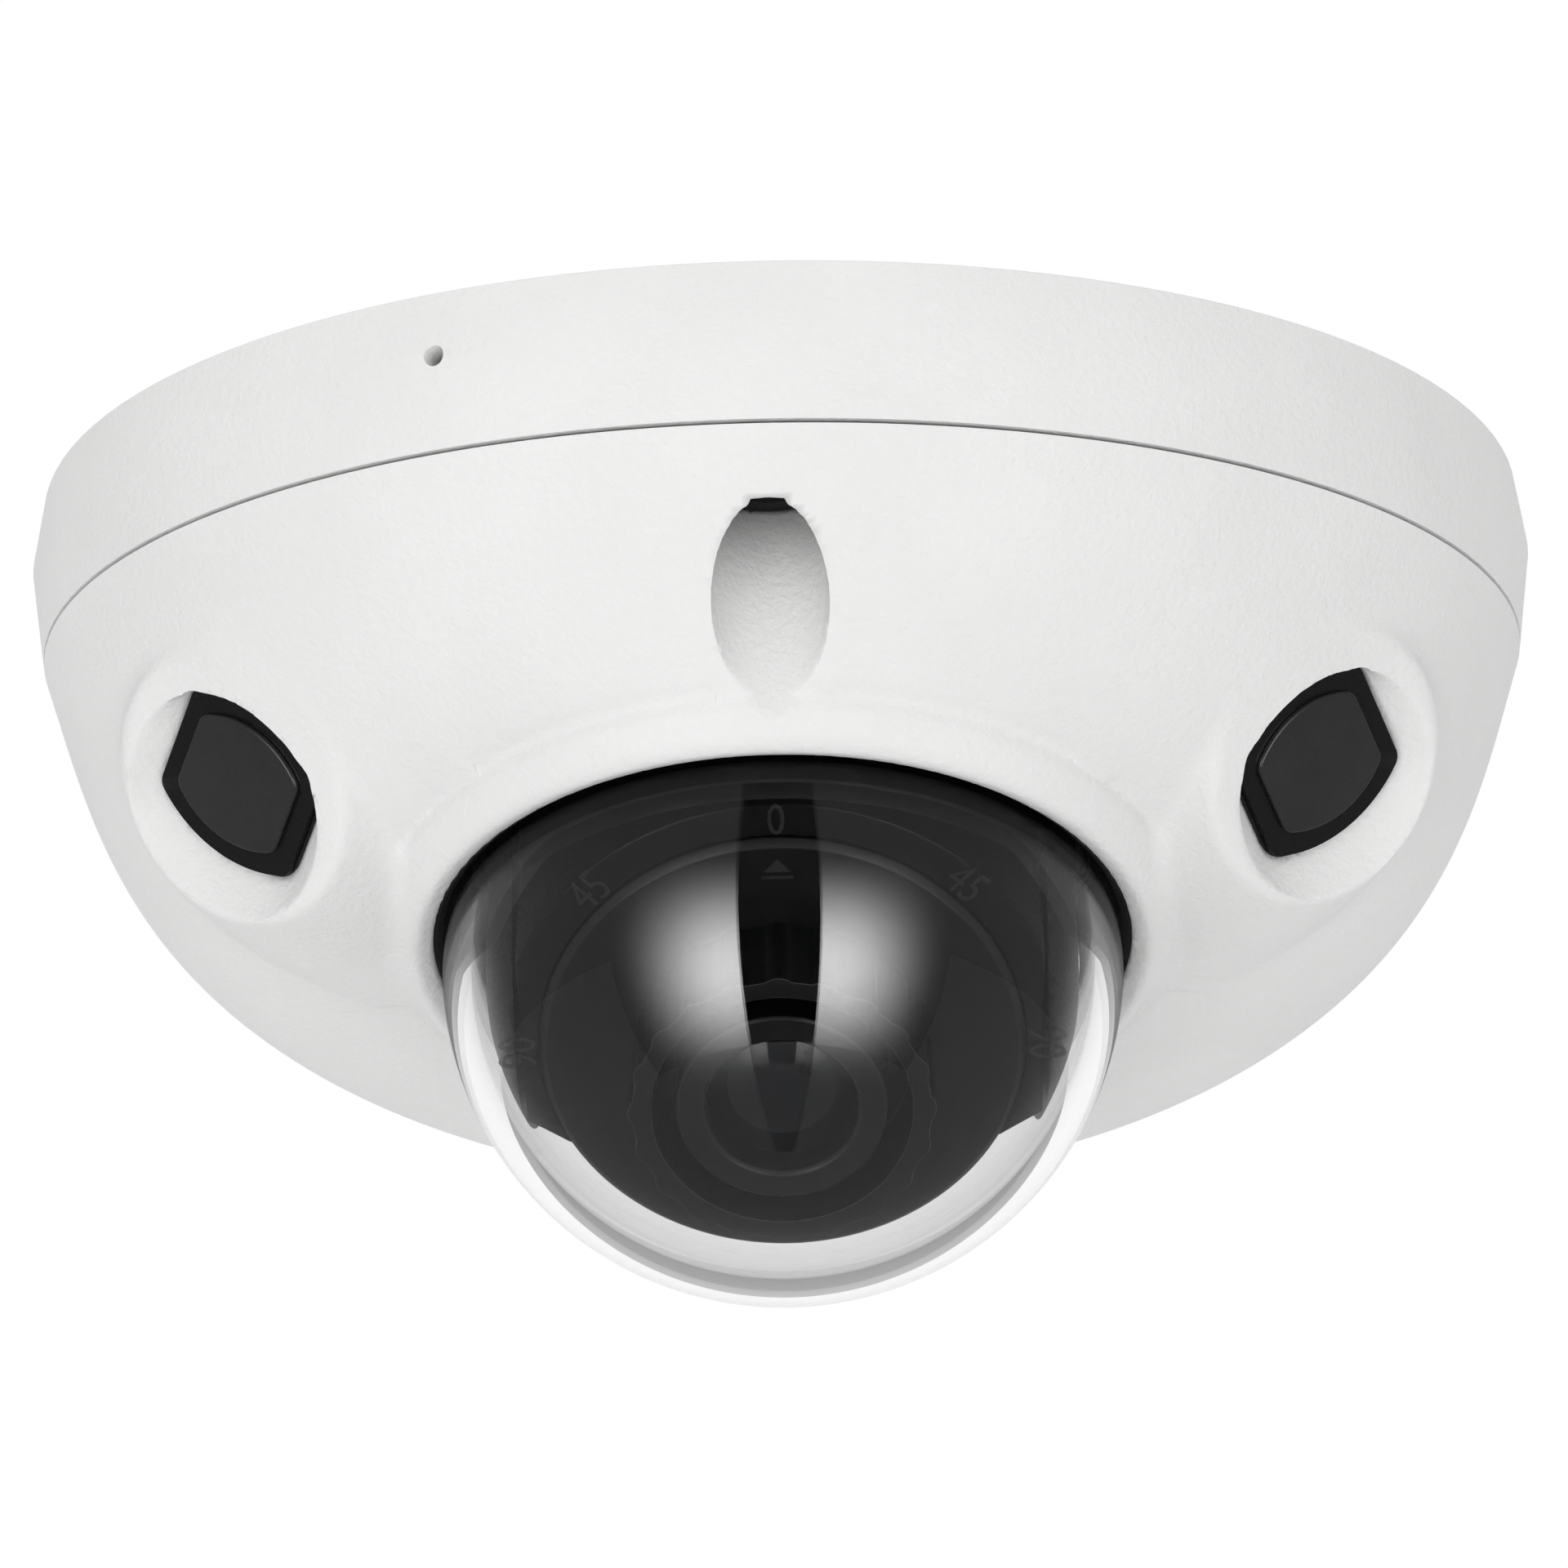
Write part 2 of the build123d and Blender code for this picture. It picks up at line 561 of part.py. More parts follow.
with BuildPart() as network_jack:
    with BuildSketch(Plane.XY.offset(JACK_LOW_Z)):
        with Locations((sum(JACK_X) / 2, jack_middle_y)):
            Rectangle(JACK_X[1] - JACK_X[0], JACK_Y[1] - JACK_Y[0])
    extrude(amount=JACK_H)
    with BuildSketch(Plane.YZ.offset(JACK_X[1])):
        with Locations((jack_middle_y, JACK_LOW_Z + 5.4)):
            Rectangle(SOCKET_W, SOCKET_H)
        with Locations((jack_middle_y, JACK_LOW_Z + 9.6)):
            Rectangle(LATCH_W, LATCH_H)
    extrude(amount=-SOCKET_DEPTH, mode=Mode.SUBTRACT)
finish(network_jack, "network_jack")

TERMINAL_XY = (20.0, 14.0)
TERMINAL_LENGTH, TERMINAL_W, TERMINAL_H = 8.5, 10.5, 8.0
WIRE_PITCH, WIRE_W, WIRE_H, WIRE_Z = 4.8, 3.2, 3.6, BOARD_LOW_Z - 4.6
WIRE_SCREW_R = 1.5

with BuildPart() as power_terminal:
    with BuildSketch(Plane.XY.offset(BOARD_LOW_Z - TERMINAL_H)):
        with Locations(TERMINAL_XY):
            Rectangle(TERMINAL_LENGTH, TERMINAL_W)
    extrude(amount=TERMINAL_H)
    with BuildSketch(Plane.YZ.offset(TERMINAL_XY[0] - TERMINAL_LENGTH / 2)):
        with Locations((TERMINAL_XY[1], WIRE_Z)):
            with GridLocations(WIRE_PITCH, 0, 2, 1):
                Rectangle(WIRE_W, WIRE_H)
    extrude(amount=5.0, mode=Mode.SUBTRACT)
    with BuildSketch(Plane.XY.offset(BOARD_LOW_Z - TERMINAL_H)):
        with Locations((TERMINAL_XY[0] + 1.0, TERMINAL_XY[1])):
            with GridLocations(0, WIRE_PITCH, 1, 2):
                Circle(WIRE_SCREW_R)
    extrude(amount=1.0, mode=Mode.SUBTRACT)
finish(power_terminal, "power_terminal")

SOCKET_Y = -29.5
SOCKET_LENGTH, CARD_SOCKET_W, CARD_SOCKET_H = 15.0, 14.0, 1.8
CARD_Y, CARD_W, CARD_LENGTH, CARD_T = -31.5, 11.0, 15.0, 0.7
CARD_LOW_Z = BOARD_LOW_Z - 1.3

with BuildPart() as memory_card_socket:
    with BuildSketch(Plane.XY.offset(BOARD_LOW_Z - CARD_SOCKET_H)):
        with Locations((0, SOCKET_Y)):
            Rectangle(CARD_SOCKET_W, SOCKET_LENGTH)
    extrude(amount=CARD_SOCKET_H)
    with BuildSketch(Plane.XY.offset(CARD_LOW_Z)):
        with Locations((0, CARD_Y)):
            Rectangle(CARD_W, CARD_LENGTH)
    extrude(amount=CARD_T, mode=Mode.SUBTRACT)
finish(memory_card_socket, "memory_card_socket")

with BuildPart() as memory_card:
    with BuildSketch(Plane.XY.offset(CARD_LOW_Z)):
        with Locations((0, CARD_Y)):
            Rectangle(CARD_W, CARD_LENGTH)
    extrude(amount=CARD_T)
    chamfer(memory_card.edges().filter_by(Axis.Z).group_by(Axis.Y)[-1].sort_by(Axis.X)[-1], 2.0)
finish(memory_card, "memory_card")

BUTTON_XY = (18.0, -26.0)
BUTTON_R = 1.1
BUTTON_TRAVEL = 0.3
BUTTON_LOW_Z = BOARD_LOW_Z - 2.6
SWITCH_SIZE, SWITCH_H, SWITCH_BORE_DEPTH = 4.5, 1.6, 1.3

with BuildPart() as reset_switch:
    with BuildSketch(Plane.XY.offset(BOARD_LOW_Z - SWITCH_H)):
        with Locations(BUTTON_XY):
            Rectangle(SWITCH_SIZE, SWITCH_SIZE)
    extrude(amount=SWITCH_H)
    with BuildSketch(Plane.XY.offset(BOARD_LOW_Z - SWITCH_H)):
        with Locations(BUTTON_XY):
            Circle(BUTTON_R + 0.05)
    extrude(amount=SWITCH_BORE_DEPTH, mode=Mode.SUBTRACT)
finish(reset_switch, "reset_switch")

with BuildPart() as reset_button:
    with BuildSketch(Plane.XY.offset(BUTTON_LOW_Z)):
        with Locations(BUTTON_XY):
            Circle(BUTTON_R)
    extrude(amount=BOARD_LOW_Z - SWITCH_H + SWITCH_BORE_DEPTH - BUTTON_TRAVEL - 0.05 - BUTTON_LOW_Z)
    chamfer(reset_button.edges().group_by(Axis.Z)[0], 0.2)
finish(reset_button, "reset_button")

# ---------------------------------------------------------------- gimbal: fixed plate
PLATE_LOW_H, PLATE_TOP_H = -23.6, -25.6
PLATE_LENGTH, PLATE_W, PLATE_BOSS_R = 51.0, 24.0, 13.0
LEG_R = 3.2
SCREW_SEAT_Z = BOARD_LOW_Z - 2.6
GIMBAL_HEAD_R, GIMBAL_HEAD_H = 2.0, 1.8
HUB_R = 8.0
RUN = 0.06               # radial running clearance of the three bearings
ALL_THROUGH = 60.0       # longer than any piece, for cuts that go right through


def post_circles(z, radius):
    """One circle for each screw of the gimbal plate."""
    with BuildSketch(Plane.XY.offset(z)) as sketch:
        with Locations(*BOARD_POSTS):
            Circle(radius)
    return sketch.sketch


with BuildPart() as gimbal_plate:
    extrude(post_circles(BOARD_LOW_Z, LEG_R), amount=-18)
    with BuildSketch(dome_plane(PLATE_LOW_H)):
        Circle(ALL_THROUGH)
    extrude(amount=25, mode=Mode.SUBTRACT)
    with BuildSketch(dome_plane(PLATE_TOP_H)):
        with Locations((0, -2.5)):
            RectangleRounded(PLATE_LENGTH, PLATE_W, 4)
        Circle(PLATE_BOSS_R)
    extrude(amount=PLATE_LOW_H - PLATE_TOP_H)
    with BuildSketch(dome_plane(PLATE_TOP_H)):
        Circle(HUB_R + RUN)
    extrude(amount=PLATE_LOW_H - PLATE_TOP_H, mode=Mode.SUBTRACT)
    extrude(post_circles(BOARD_LOW_Z, BOARD_SCREW_R), amount=-20, mode=Mode.SUBTRACT)
    extrude(post_circles(SCREW_SEAT_Z, GIMBAL_HEAD_R + 0.1), amount=-20, mode=Mode.SUBTRACT)
finish(gimbal_plate, "gimbal_plate")

with BuildPart() as gimbal_screws:
    extrude(post_circles(SCREW_SEAT_Z, GIMBAL_HEAD_R), amount=-GIMBAL_HEAD_H)
    extrude(post_circles(SCREW_SEAT_Z, BOARD_SCREW_R), amount=BOARD_TOP_Z - SCREW_SEAT_Z + TAP_DEPTH - 1)
finish(gimbal_screws, "gimbal_screws")

# ---------------------------------------------------------------- gimbal: pan yoke
YOKE_TOP_H, YOKE_FLOOR_H = -23.4, -21.6
HUB_TOP_H = -27.4
HUB_BORE_R = 5.0
ARM_IN, ARM_OUT = 17.95, 20.3
PIN_R = 1.6
CLIP_R = 10.8            # outside of the ring that keeps the hub in the plate


def pivot_circle(x, radius):
    """Circle about the tilt axis."""
    with BuildSketch(Plane.YZ.offset(x)) as sketch:
        with Locations((DOME_Y, DOME_Z)):
            Circle(radius)
    return sketch.sketch


with BuildPart() as pan_yoke:
    with BuildSketch(DOME_SIDE):
        with BuildLine():
            CenterArc((0, 0), GIMBAL_R, 0, 90)
            Polyline((0, GIMBAL_R), (0, YOKE_TOP_H), (GIMBAL_R, YOKE_TOP_H), (GIMBAL_R, 0))
        make_face()
    revolve(axis=DOME_AXIS)
    with BuildSketch(dome_plane(YOKE_FLOOR_H)):
        Rectangle(2 * ARM_IN, ALL_THROUGH)
    extrude(amount=ALL_THROUGH, mode=Mode.SUBTRACT)
    with BuildSketch(dome_plane(YOKE_FLOOR_H)):
        with GridLocations(2 * ARM_OUT + 10, 0, 2, 1):
            Rectangle(10, ALL_THROUGH)
    extrude(amount=ALL_THROUGH, mode=Mode.SUBTRACT)
    with BuildSketch(dome_plane(HUB_TOP_H)):
        Circle(HUB_R)
    extrude(amount=YOKE_TOP_H - HUB_TOP_H)
    with BuildSketch(dome_plane(HUB_TOP_H)):
        Circle(HUB_BORE_R)
    extrude(amount=YOKE_FLOOR_H - HUB_TOP_H, mode=Mode.SUBTRACT)
    extrude(pivot_circle(-ALL_THROUGH / 2, PIN_R + RUN), amount=ALL_THROUGH, mode=Mode.SUBTRACT)
finish(pan_yoke, "pan_yoke")

with BuildPart() as pan_retaining_ring:
    revolve(ring_section(DOME_SIDE, HUB_R, CLIP_R, HUB_TOP_H, PLATE_TOP_H - 0.3), axis=DOME_AXIS)
finish(pan_retaining_ring, "pan_retaining_ring")

# ---------------------------------------------------------------- gimbal: dial housing that tilts
HOUSING_R = 21.0
HOUSING_NECK_H = 7.0     # in front of this the housing narrows only slightly towards the dial
DIAL_R = 18.95
HOUSING_HALF_W = 17.65
HOUSING_CUT = ((-14.4, -7.9), (14.4, -7.9))      # below this the turret stands free of the housing
HOUSING_CORNER_Y = -5.6
DIAL_H = TURRET_FRONT - 0.6
HOUSING_BACK_H = -8.5
SHOULDER_H = -6.6
NECK_R = 13.8

with BuildPart() as tilt_housing:
    with BuildSketch(LENS_SIDE):
        with BuildLine():
            neck_r = sqrt(HOUSING_R ** 2 - HOUSING_NECK_H ** 2)
            back_r = sqrt(HOUSING_R ** 2 - HOUSING_BACK_H ** 2)
            ThreePointArc((back_r, HOUSING_BACK_H), (HOUSING_R, 0), (neck_r, HOUSING_NECK_H))
            Polyline(
                (neck_r, HOUSING_NECK_H), (DIAL_R, DIAL_H), (0, DIAL_H), (0, HOUSING_BACK_H),
                (back_r, HOUSING_BACK_H),
            )
        make_face()
    revolve(axis=LENS_AXIS)
    with BuildSketch(lens_plane(HOUSING_BACK_H - 1)):
        with BuildLine():
            Polyline(
                (HOUSING_HALF_W, HOUSING_CORNER_Y), (HOUSING_HALF_W, HOUSING_R),
                (-HOUSING_HALF_W, HOUSING_R), (-HOUSING_HALF_W, HOUSING_CORNER_Y), *HOUSING_CUT,
                close=True,
            )
        make_face()
    extrude(amount=30, mode=Mode.INTERSECT)
    with BuildSketch(lens_plane(SHOULDER_H)):
        Circle(TURRET_R + RUN)
    extrude(amount=30, mode=Mode.SUBTRACT)
    with BuildSketch(lens_plane(HOUSING_BACK_H - 1)):
        Circle(NECK_R + RUN)
    extrude(amount=10, mode=Mode.SUBTRACT)
    extrude(pivot_circle(-ALL_THROUGH / 2, PIN_R), amount=ALL_THROUGH, mode=Mode.SUBTRACT)
finish(tilt_housing, "tilt_housing")

PIN_START_X, PIN_SHOULDER_X, PIN_END_X, PIN_HEAD_R = 16.85, ARM_OUT + 0.1, 20.9, 2.4

with BuildPart() as pivot_pins:
    for direction in (1, -1):
        for radius, start, end in (
            (PIN_R, PIN_START_X, PIN_SHOULDER_X), (PIN_HEAD_R, PIN_SHOULDER_X, PIN_END_X),
        ):
            extrude(pivot_circle(direction * start, radius), amount=direction * (end - start),
                    dir=(1, 0, 0))
finish(pivot_pins, "pivot_pins")

# ---------------------------------------------------------------- gimbal: lens turret that rotates
TURRET_BACK_H = -6.5
NECK_END_H = -9.9
REAR_BORE_R = 12.6
BOARD_SEAT_H = -5.2
SHELL_IN_R = 15.0
SHELL_T = 1.4
HOOD_BORE_R = 8.0

with BuildPart() as turret_shell:
    revolve(
        section(
            LENS_SIDE, (HOOD_BORE_R, TURRET_FRONT), (TURRET_R - 0.5, TURRET_FRONT),
            (TURRET_R, TURRET_FRONT - 0.5), (TURRET_R, TURRET_BACK_H), (NECK_R, TURRET_BACK_H),
            (NECK_R, NECK_END_H), (REAR_BORE_R, NECK_END_H), (REAR_BORE_R, BOARD_SEAT_H),
            (SHELL_IN_R, BOARD_SEAT_H), (SHELL_IN_R, TURRET_FRONT - SHELL_T),
            (HOOD_BORE_R, TURRET_FRONT - SHELL_T),
        ),
        axis=LENS_AXIS,
    )
finish(turret_shell, "turret_shell")

with BuildPart() as turret_rear_cover:
    revolve(ring_section(LENS_SIDE, 3.0, REAR_BORE_R, -8.4, -7.0), axis=LENS_AXIS)
finish(turret_rear_cover, "turret_rear_cover")

with BuildPart() as turret_retaining_ring:
    revolve(ring_section(LENS_SIDE, NECK_R, 15.2, NECK_END_H, HOUSING_BACK_H - 0.1), axis=LENS_AXIS)
finish(turret_retaining_ring, "turret_retaining_ring")

HOOD_FRONT_H = TURRET_FRONT + 7.45
HOOD_FLANGE_T = 1.5
HOOD_WAIST_R, HOOD_IN_R, HOOD_FLANGE_IN_R = 10.0, 8.8, 7.3
HOOD_LOBES, LOBE_PCR, LOBE_R = 20, 8.9, 1.4

with BuildPart() as lens_hood:
    with BuildSketch(lens_plane(TURRET_FRONT)):
        Circle(HOOD_WAIST_R)
        with PolarLocations(LOBE_PCR, HOOD_LOBES, start_angle=90):
            Circle(LOBE_R)
    extrude(amount=HOOD_FRONT_H - TURRET_FRONT)
    with BuildSketch(lens_plane(TURRET_FRONT)):
        Circle(HOOD_FLANGE_IN_R)
    extrude(amount=HOOD_FLANGE_T, mode=Mode.SUBTRACT)
    with BuildSketch(lens_plane(TURRET_FRONT + HOOD_FLANGE_T)):
        Circle(HOOD_IN_R)
    extrude(amount=HOOD_FRONT_H - TURRET_FRONT, mode=Mode.SUBTRACT)
finish(lens_hood, "lens_hood")

THREAD_R = 6.0           # screwed part of the barrel
BARREL_R = 7.15
BARREL_FRONT_H = HOOD_FRONT_H - 0.2
LENS_R = 5.15
LENS_BACK_H = BARREL_FRONT_H - 3.3
LENS_EDGE_H = BARREL_FRONT_H - 2.3
LENS_CROWN_H = BARREL_FRONT_H - 0.7
BARREL_BACK_H = 2.0
BARREL_BORE_R = 4.0

with BuildPart() as lens_barrel:
    revolve(
        section(
            LENS_SIDE, (BARREL_BORE_R, BARREL_BACK_H), (THREAD_R, BARREL_BACK_H),
            (THREAD_R, BARREL_FRONT_H - 2.9), (BARREL_R, BARREL_FRONT_H - 2.9),
            (BARREL_R, BARREL_FRONT_H - 0.2), (BARREL_R - 0.2, BARREL_FRONT_H),
            (LENS_R + 0.25, BARREL_FRONT_H), (LENS_R, BARREL_FRONT_H - 0.3), (LENS_R, LENS_BACK_H),
            (BARREL_BORE_R, LENS_BACK_H),
        ),
        axis=LENS_AXIS,
    )
finish(lens_barrel, "lens_barrel")

CROWN_R = (LENS_R ** 2 + (LENS_CROWN_H - LENS_EDGE_H) ** 2) / (2 * (LENS_CROWN_H - LENS_EDGE_H))
CROWN_ANGLE = degrees(asin(LENS_R / CROWN_R))

with BuildPart() as front_lens:
    with BuildSketch(LENS_SIDE):
        with BuildLine():
            CenterArc((0, LENS_CROWN_H - CROWN_R), CROWN_R, 90 - CROWN_ANGLE, CROWN_ANGLE)
            Polyline((0, LENS_CROWN_H), (0, LENS_BACK_H), (LENS_R, LENS_BACK_H), (LENS_R, LENS_EDGE_H))
        make_face()
    revolve(axis=LENS_AXIS)
finish(front_lens, "front_lens")

SENSOR_BOARD_T = 1.6
SENSOR_BOARD_TOP_H = BOARD_SEAT_H + SENSOR_BOARD_T
MOUNT_FOOT_R, MOUNT_FOOT_T, MOUNT_TUBE_R = 11.0, 1.6, 7.8
MOUNT_TOP_H = TURRET_FRONT - SHELL_T - 0.3

with BuildPart() as sensor_board:
    with BuildSketch(lens_plane(BOARD_SEAT_H)):
        Circle(SHELL_IN_R)
    extrude(amount=SENSOR_BOARD_T)
finish(sensor_board, "sensor_board")

with BuildPart() as lens_mount:
    revolve(
        section(
            LENS_SIDE, (THREAD_R, SENSOR_BOARD_TOP_H), (MOUNT_FOOT_R, SENSOR_BOARD_TOP_H),
            (MOUNT_FOOT_R, SENSOR_BOARD_TOP_H + MOUNT_FOOT_T),
            (MOUNT_TUBE_R, SENSOR_BOARD_TOP_H + MOUNT_FOOT_T),
            (MOUNT_TUBE_R, MOUNT_TOP_H), (THREAD_R, MOUNT_TOP_H),
        ),
        axis=LENS_AXIS,
    )
finish(lens_mount, "lens_mount")

with BuildPart() as image_sensor:
    with BuildSketch(lens_plane(SENSOR_BOARD_TOP_H)):
        Rectangle(8.4, 7.2)
    extrude(amount=1.2)
finish(image_sensor, "image_sensor")
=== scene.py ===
import json
from math import cos, pi, radians, sin

import bmesh
import bpy
import numpy as np
from mathutils import Matrix, Vector


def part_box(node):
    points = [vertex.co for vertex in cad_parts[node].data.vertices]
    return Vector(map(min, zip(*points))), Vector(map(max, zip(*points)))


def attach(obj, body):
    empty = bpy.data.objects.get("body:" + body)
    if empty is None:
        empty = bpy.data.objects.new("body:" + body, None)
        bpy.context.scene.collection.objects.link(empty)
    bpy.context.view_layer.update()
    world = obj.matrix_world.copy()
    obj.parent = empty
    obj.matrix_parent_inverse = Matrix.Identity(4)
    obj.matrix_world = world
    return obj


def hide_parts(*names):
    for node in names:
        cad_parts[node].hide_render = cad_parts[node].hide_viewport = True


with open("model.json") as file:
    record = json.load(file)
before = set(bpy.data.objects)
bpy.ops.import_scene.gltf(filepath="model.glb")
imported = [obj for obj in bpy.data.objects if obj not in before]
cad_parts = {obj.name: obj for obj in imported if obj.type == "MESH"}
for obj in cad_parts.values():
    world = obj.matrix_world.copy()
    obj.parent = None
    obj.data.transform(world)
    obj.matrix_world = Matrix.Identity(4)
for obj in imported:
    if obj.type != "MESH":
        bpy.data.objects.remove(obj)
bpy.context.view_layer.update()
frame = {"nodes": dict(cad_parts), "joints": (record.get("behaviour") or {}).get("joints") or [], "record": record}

MM = 0.001
JOINTS = {joint["name"]: joint for joint in frame["joints"]}
CENTRE = np.array(JOINTS["pan_joint"]["pos_m"]) / MM          # centre of the clear dome, in mm
DOME_DIR = np.array(JOINTS["pan_joint"]["axis"])
LENS_DIR = np.array(JOINTS["turret_joint"]["axis"])


# ================================================================ meshes from formulas
def mesh_object(name, verts_mm, faces, smooth_angle=30):
    """Object from vertices in mm; edges sharper than the angle stay crisp."""
    mesh = bpy.data.meshes.new(name)
    mesh.from_pydata((np.asarray(verts_mm, float) * MM).tolist(), [], faces)
    mesh.validate()
    obj = bpy.data.objects.new(name, mesh)
    bpy.context.scene.collection.objects.link(obj)
    shade(obj, smooth_angle)
    return obj


def shade(obj, smooth_angle=30):
    """Smooth shading, with sharp edges where faces meet at more than the angle."""
    mesh = obj.data
    mesh.polygons.foreach_set("use_smooth", [True] * len(mesh.polygons))
    if smooth_angle is not None:
        mesh.set_sharp_from_angle(angle=radians(smooth_angle))
    return obj


def basis(direction):
    """Right and up unit vectors square to the direction; right is as near +X as it gets."""
    direction = np.asarray(direction, float) / np.linalg.norm(direction)
    right = np.array([1.0, 0.0, 0.0]) - direction[0] * direction
    right /= np.linalg.norm(right)
    return right, np.cross(direction, right)


def place(origin, direction, x, y, h):
    """Point (x, y, h) of the frame at the origin whose h axis is the direction."""
    right, up = basis(direction)
    direction = np.asarray(direction, float) / np.linalg.norm(direction)
    return (
        np.asarray(origin, float)
        + np.multiply.outer(x, right) + np.multiply.outer(y, up) + np.multiply.outer(h, direction)
    )


ON_AXIS_R = 1e-6          # a profile point this near the axis becomes one vertex


def lathe(name, origin, direction, profile, segments=192, smooth_angle=30):
    """Closed ring or disc: the closed profile (radius, height) turned about an axis."""
    profile = [tuple(p) for p in profile]
    angles = np.arange(segments) * 2 * pi / segments
    verts, rows = [], []
    for radius, height in profile:
        if radius < ON_AXIS_R:
            rows.append([len(verts)] * segments)
            verts.append(place(origin, direction, 0.0, 0.0, height))
            continue
        rows.append(list(range(len(verts), len(verts) + segments)))
        verts += list(place(origin, direction, radius * np.cos(angles), radius * np.sin(angles),
                            np.full(segments, float(height))))
    faces = []
    for a, b in zip(rows, rows[1:] + rows[:1]):
        for k in range(segments):
            n = (k + 1) % segments
            corners = list(dict.fromkeys((a[k], a[n], b[n], b[k])))
            if len(corners) > 2:
                faces.append(corners)
    obj = mesh_object(name, verts, faces, None)
    tidy_normals(obj)
    return shade(obj, smooth_angle)


def tidy_normals(obj):
    """Outward normals on a closed mesh."""
    work = bmesh.new()
    work.from_mesh(obj.data)
    bmesh.ops.recalc_face_normals(work, faces=work.faces)
    work.to_mesh(obj.data)
    work.free()


# ================================================================ smooth solids from distance fields
def smooth_min(a, b, k):
    """Union of two distances, with a fillet of about size k where they meet."""
    h = np.clip(0.5 + 0.5 * (b - a) / k, 0, 1)
    return b + (a - b) * h - k * h * (1 - h)


def smooth_max(a, b, k):
    """Overlap of two distances, with an edge rounded to about size k."""
    return -smooth_min(-a, -b, k)


CORNERS = [(i, j, k) for i in (0, 1) for j in (0, 1) for k in (0, 1)]
SLOPE_STEP = 0.02                     # mm, for gradients
LEAST_STEEPNESS = 0.05                # squared gradient below which a field counts as flat
MIDDLE_PULL = 0.04                    # how strongly a vertex keeps to the middle of its cell's crossings
CELL_MARGIN = 0.25                    # how far outside its cell a vertex may lie, in cells


def slope_of(field, points):
    """Gradient of a field at the points."""
    return np.stack([
        (field(*(points + shift).T) - field(*(points - shift).T)) / (2 * SLOPE_STEP)
        for shift in np.eye(3) * SLOPE_STEP
    ], axis=1)


def cell_sum(quads, values, count):
    """Adds each quad's value to the four cells that it joins."""
    return sum(np.bincount(quads[:, k], values, count) for k in range(4))


def sharp_vertices(quads, points, normals, cells, origin, step):
    """One vertex per cell, where the tangent planes of the cell's crossings meet: edges stay crisp."""
    count = len(cells)
    hits = np.maximum(cell_sum(quads, np.ones(len(points)), count), 1)
    middle = np.stack([cell_sum(quads, points[:, i], count) for i in range(3)], axis=1) / hits[:, None]
    planes = np.empty((count, 3, 3))
    for i in range(3):
        for j in range(3):
            planes[:, i, j] = cell_sum(quads, normals[:, i] * normals[:, j], count) / hits
    level = (normals * points).sum(1)
    pull = np.stack([cell_sum(quads, normals[:, i] * level, count) for i in range(3)], axis=1) / hits[:, None]
    pull -= np.einsum("nij,nj->ni", planes, middle)
    verts = middle + np.linalg.solve(planes + MIDDLE_PULL * np.eye(3), pull[:, :, None])[:, :, 0]
    low = origin + (cells - CELL_MARGIN) * step
    return np.clip(verts, low, low + (1 + 2 * CELL_MARGIN) * step)


def surface_net(field, low, high, step):
    """Quad mesh of the zero surface of a field (negative inside): one vertex per crossed cell."""
    axes = [np.arange(l, h + step, step) for l, h in zip(low, high)]
    origin = np.array([a[0] for a in axes])
    values = field(axes[0][:, None, None], axes[1][None, :, None], axes[2][None, None, :])
    values = np.broadcast_to(values, [len(a) for a in axes]).astype(np.float32)
    inside = values < 0
    corners = np.zeros([n - 1 for n in inside.shape], np.int8)
    for i, j, k in CORNERS:
        corners += inside[i:i + corners.shape[0], j:j + corners.shape[1], k:k + corners.shape[2]]
    cells = np.argwhere((corners > 0) & (corners < 8))
    index = np.full(corners.shape, -1, np.int32)
    index[tuple(cells.T)] = np.arange(len(cells))
    quads, points = [], []
    for axis in range(3):
        ahead = np.eye(3, dtype=int)[axis]
        near = tuple(slice(0, -1) if i == axis else slice(None) for i in range(3))
        far = tuple(slice(1, None) if i == axis else slice(None) for i in range(3))
        at = np.argwhere(inside[near] != inside[far])
        one, two = [a for a in range(3) if a != axis]
        keep = (at[:, one] > 0) & (at[:, two] > 0)
        keep &= (at[:, one] < corners.shape[one]) & (at[:, two] < corners.shape[two])
        at = at[keep]
        here, there = values[tuple(at.T)], values[tuple((at + ahead).T)]
        points.append(origin + (at + (here / (here - there))[:, None] * ahead) * step)
        quad = []
        for back_one, back_two in ((1, 1), (0, 1), (0, 0), (1, 0)):
            cell = at.copy()
            cell[:, one] -= back_one
            cell[:, two] -= back_two
            quad.append(index[tuple(cell.T)])
        quad = np.stack(quad, axis=1)
        flip = inside[tuple(at.T)] == (axis == 1)          # so that every face points out
        quad[flip] = quad[flip][:, ::-1]
        quads.append(quad)
    quads, points = np.concatenate(quads), np.concatenate(points)
    slopes = slope_of(field, points)
    steep = np.maximum((slopes ** 2).sum(1), LEAST_STEEPNESS)[:, None]
    points -= np.clip(field(*points.T)[:, None] * slopes / steep, -step / 2, step / 2)
    normals = slopes / np.sqrt(steep)
    return sharp_vertices(quads, points, normals, cells, origin, step), quads


